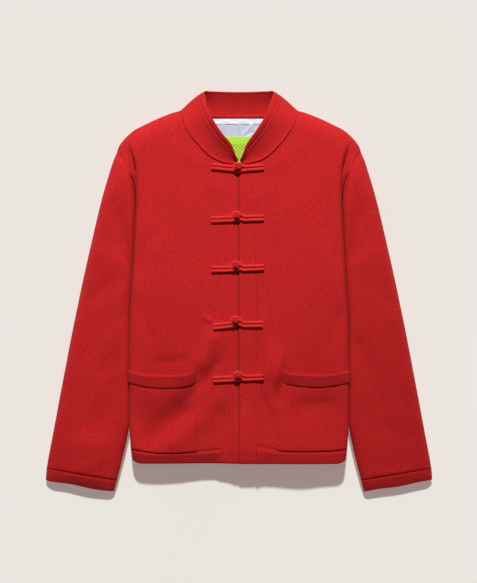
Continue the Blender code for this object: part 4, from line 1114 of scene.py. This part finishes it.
mix = tree.nodes.new("ShaderNodeMix")
mix.data_type = "RGBA"
mix.inputs["A"].default_value = (0.43, 0.80, 0.05, 1.0)
mix.inputs["B"].default_value = (0.10, 0.12, 0.07, 1.0)
tree.links.new(marks, mix.inputs["Factor"])
tree.links.new(mix.outputs["Result"], shader.inputs["Base Color"])
patch(
    "woven_label", "label", ((211.5, -26, 28), (271.5, -26, 28)),
    lambda x, y: 4.9 + 0.5 * np.sin(x / 9.0), woven, 0.8)


# ---- Frogs -----------------------------------------------------------------
# Five closures of round cloth-covered cord. The right front's cord is tied into a
# ball knot, and the left front's runs round it as a loop.
FROGS = (  # button cords' end x, y; ball x, y; y of the cords at the ball; loop's end x, y
    (-48.1, 216.5, -1.9, 213.2, 211.6, 43.0, 215.3),
    (-48.1, 123.7, -3.9, 129.0, 125.2, 42.9, 126.9),
    (-48.1, 37.6, -5.3, 42.7, 38.6, 43.2, 41.0),
    (-45.0, -62.0, -6.0, -52.9, -57.8, 41.3, -57.6),
    (-45.0, -154.0, -1.8, -148.4, -151.7, 42.0, -149.8),
)
CORD_R, HALF_PITCH, KNOT_R, LOOP_R = 2.85, 3.05, 4.5, 7.2
SINK = 0.2                      # how far a cord presses into the cloth
KNOT_RISE = 8.0                 # the knot's middle above the cloth
ENTRY, ENTRY_DROP = 3.4, 2.2    # where the cords enter the knot, beside and below it
TURN_R, TURN_TILT = 1.35, math.radians(58.0)    # the knot's own cord, its turns' tilt
TURNS, BENDS = 3.0, 5.0         # of that cord round the ball, and up and down on the way
LEAN = math.radians(52.0)       # how far up and down the ball it goes
OVER_UNDER = 0.55               # how far it rises and dips where it crosses itself


def braid_group():
    """Tight slanting strands with uneven dye; Place is in mm along the cord."""
    group, given, result = shader_group(
        "braid", {"Place": "Vector", "Colour": "Color"}, {"Colour": "Color", "Height": "Float"})
    grain = uneven(group, given["Place"], 1.6, 0.88, 1.1, 3.0)
    group.links.new(tinted(group, given["Colour"], grain), result["Colour"])
    wave = group.nodes.new("ShaderNodeTexWave")
    wave.bands_direction = "DIAGONAL"
    wave.inputs["Scale"].default_value = 0.8
    group.links.new(given["Place"], wave.inputs["Vector"])
    group.links.new(wave.outputs["Fac"], result["Height"])
    return group


strands = braid_group()


def cord_material(name, colour):
    """Cord with a slight shine on its strands."""
    made, shader, tree = new_material(name, 0.55, 0.15, (1.0, 0.25, 0.22, 1.0))
    place = tree.nodes.new("ShaderNodeUVMap")
    place.uv_map = "cord"
    cord = placed(tree, strands, Place=place.outputs["UV"], Colour=(*colour, 1.0))
    tree.links.new(cord["Colour"], shader.inputs["Base Color"])
    raised_by(tree, shader, cord["Height"], 0.00025)
    return made


braid = cord_material("frog_cord", (0.86, 0.030, 0.028))
# The ball knot is the same braid in a darker red: painted shade on the ball, as if its loop shaded
# it.
shaded_knot_braid = cord_material("knot_cord_painted_shade", (0.55, 0.016, 0.016))


def tube(points, radius, sides=14, caps=True):
    """Vertices, faces and UVs of a round cord along points in mm."""
    points = np.asarray(points, float)
    tangent = np.gradient(points, axis=0)
    tangent /= np.linalg.norm(tangent, axis=1, keepdims=True)
    side = np.empty_like(points)
    guide = np.cross(tangent[0], (0.0, 0.0, 1.0))
    for k, direction in enumerate(tangent):
        guide = guide - direction * (guide @ direction)
        guide = guide / np.linalg.norm(guide)
        side[k] = guide
    other = np.cross(tangent, side)
    angle = np.linspace(0.0, math.tau, sides, endpoint=False)
    ring = (side[:, None] * np.cos(angle)[None, :, None]
            + other[:, None] * np.sin(angle)[None, :, None])
    size = np.full(len(points), radius, float)
    if caps:
        size[[0, -1]] *= 0.93
    verts = points[:, None] + ring * size[:, None, None]
    index = np.arange(len(points) * sides).reshape(len(points), sides)
    wrap = np.roll(index, -1, axis=1)
    faces = np.stack([index[:-1], wrap[:-1], wrap[1:], index[1:]], -1).reshape(-1, 4).tolist()
    if caps:
        faces += [index[0].tolist()[::-1], index[-1].tolist()]
    run = np.r_[0.0, np.cumsum(np.linalg.norm(np.diff(points, axis=0), axis=1))]
    uv = np.stack(np.broadcast_arrays(angle[None, :] * radius, run[:, None]), -1)
    return verts.reshape(-1, 3), faces, uv.reshape(-1, 2)


def joined(name, shapes, finishes):
    """One mesh object from tubes and balls, each with its place in finishes."""
    verts, faces, uvs, places, start = [], [], [], [], 0
    for points, polygons, uv, place in shapes:
        verts.append(points)
        uvs.append(uv)
        faces += [[corner + start for corner in polygon] for polygon in polygons]
        places += [place] * len(polygons)
        start += len(points)
    mesh = bpy.data.meshes.new(name)
    mesh.from_pydata((np.vstack(verts) * 0.001).tolist(), [], faces)
    uv = np.vstack(uvs)
    corner = np.empty(len(mesh.loops), int)
    mesh.loops.foreach_get("vertex_index", corner)
    mesh.uv_layers.new(name="cord").data.foreach_set("uv", uv[corner].ravel())
    mesh.shade_smooth()
    for finish in finishes:
        mesh.materials.append(finish)
    mesh.polygons.foreach_set("material_index", places)
    piece = bpy.data.objects.new(name, mesh)
    scene.collection.objects.link(piece)
    garment.objects.link(piece)
    return piece


bpy.context.view_layer.update()
grounds = [fronts[-1], fronts[1], collar]


def ground(x, y, pieces, reach=2.4):
    """Highest cloth within reach of each place, in mm."""
    tops = []
    for px, py in np.stack([x, y], -1).reshape(-1, 2):
        best = -1.0
        for dx, dy in ((0, 0), (reach, 0), (-reach, 0), (0, reach), (0, -reach)):
            start = Vector(((px + dx) * 0.001, (py + dy) * 0.001, 0.2))
            for piece in pieces:
                hit, spot, _, _ = piece.ray_cast(start, (0.0, 0.0, -1.0))
                if hit:
                    best = max(best, spot.z * 1000.0)
        tops.append(best)
    return np.array(tops).reshape(np.shape(x))


def softened(values, passes):
    """Heights along a cord, evened out between its ends."""
    for _ in range(passes):
        values[1:-1] = (values[:-2] + 2.0 * values[1:-1] + values[2:]) / 4.0
    return values


def pair(start, knot, shares, spread, pieces):
    """Two parallel cords from a frog's end towards its knot."""
    axis = (knot - start) / np.linalg.norm(knot - start)
    across = np.array([-axis[1], axis[0]]) * np.sign(axis[0])
    made = []
    for turn in (1.0, -1.0):
        plan = start + np.outer(shares, knot - start) + np.outer(spread, across * turn)
        height = ground(plan[:, 0], plan[:, 1], pieces) + CORD_R - SINK
        made.append(np.column_stack([plan, softened(height, 3)]))
    return made


def button_cords(start, knot, middle):
    """The right front's two cords, which rise at their ends into the ball."""
    made = []
    shares = np.linspace(0.0, 0.84, 22)
    for cord in pair(start, knot, shares, np.full(22, HALF_PITCH), [grounds[0], grounds[2]]):
        beside = knot[1] + (cord[-1, 1] - knot[1]) * 0.7
        end = np.array([knot[0] - ENTRY, beside, middle[2] - ENTRY_DROP])
        path = np.vstack([cord, (cord[-1] + end) / 2 + (0, 0, 0.4), end])
        made.append(tube(along(path, np.linspace(0, 1, 40)), CORD_R) + (0,))
    return made


def ball_knot(number, middle):
    """One cord laid over and under itself all round a ball, and the ball inside it."""
    t = np.linspace(0.0, math.tau, 220)
    latitude = LEAN * np.sin(BENDS * t)
    longitude = TURNS * t + 0.5 * number
    reach = KNOT_R + OVER_UNDER * np.sin(2.0 * BENDS * t + 0.9)
    path = np.column_stack([
        reach * np.cos(latitude) * np.cos(longitude),
        reach * np.cos(latitude) * np.sin(longitude),
        reach * np.sin(latitude) * 0.95,
    ])
    cosine, sine = math.cos(TURN_TILT), math.sin(TURN_TILT)
    path[:, 1:] = path[:, 1:] @ np.array([[cosine, sine], [-sine, cosine]])
    cord = tube(path + middle, TURN_R, sides=10, caps=False)
    lat, lon = np.meshgrid(np.linspace(-1.5, 1.5, 12), np.linspace(0, math.tau, 18))
    points = np.stack([np.cos(lat) * np.cos(lon), np.cos(lat) * np.sin(lon), np.sin(lat)], -1)
    points = points.reshape(-1, 3)
    index = np.arange(lat.size).reshape(lat.shape)
    cells = np.stack([index[:-1, :-1], index[1:, :-1], index[1:, 1:], index[:-1, 1:]], -1)
    ball = (points * (KNOT_R - 0.2) + middle, cells.reshape(-1, 4).tolist(), points[:, :2])
    return [cord + (1,), ball + (1,)]


def loop_cord(start, knot, ball_y, base):
    """The left front's cord: along one side, round the knot and back on the other."""
    shares = np.linspace(0.0, 0.74, 16)
    spread = HALF_PITCH + 0.2 * smooth(0.45, 0.74, shares)
    upper, lower = pair(start, knot, shares, spread, [grounds[1], grounds[2]])
    angle = np.radians(np.arange(-150, 143, 8))
    ring_x, ring_y = knot[0] - LOOP_R * np.cos(angle), ball_y + 0.4 - LOOP_R * np.sin(angle)
    over = np.clip(-np.sin(angle), 0.0, 1.0)
    under = ground(ring_x, ring_y, grounds) + CORD_R - SINK
    ring_z = np.maximum(under, base + 2.6 + 2.4 * over)
    ring = np.column_stack([ring_x, ring_y, softened(ring_z, 4)])
    path = np.vstack([upper, ring, lower[::-1]])
    return tube(along(path[::2], np.linspace(0.0, 1.0, 120)), CORD_R) + (0,)


for number, (bx, by, kx, ky, cord_y, lx, ly) in enumerate(FROGS, start=1):
    knot = np.array([kx, cord_y])
    base = float(ground(np.array(kx), np.array(ky), grounds, 3.0))
    middle = (kx, ky, base + KNOT_RISE)
    shapes = button_cords(np.array([bx, by]), knot, middle) + ball_knot(number, middle)
    button = joined(f"knot_{number}", shapes, [braid, shaded_knot_braid])
    loop = joined(f"loop_{number}", [loop_cord(np.array([lx, ly]), knot, ky, base)], [braid])
    for piece, part in ((button, "button"), (loop, "loop")):
        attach(piece, "root")
        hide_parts(f"frog_{number}_{part}")
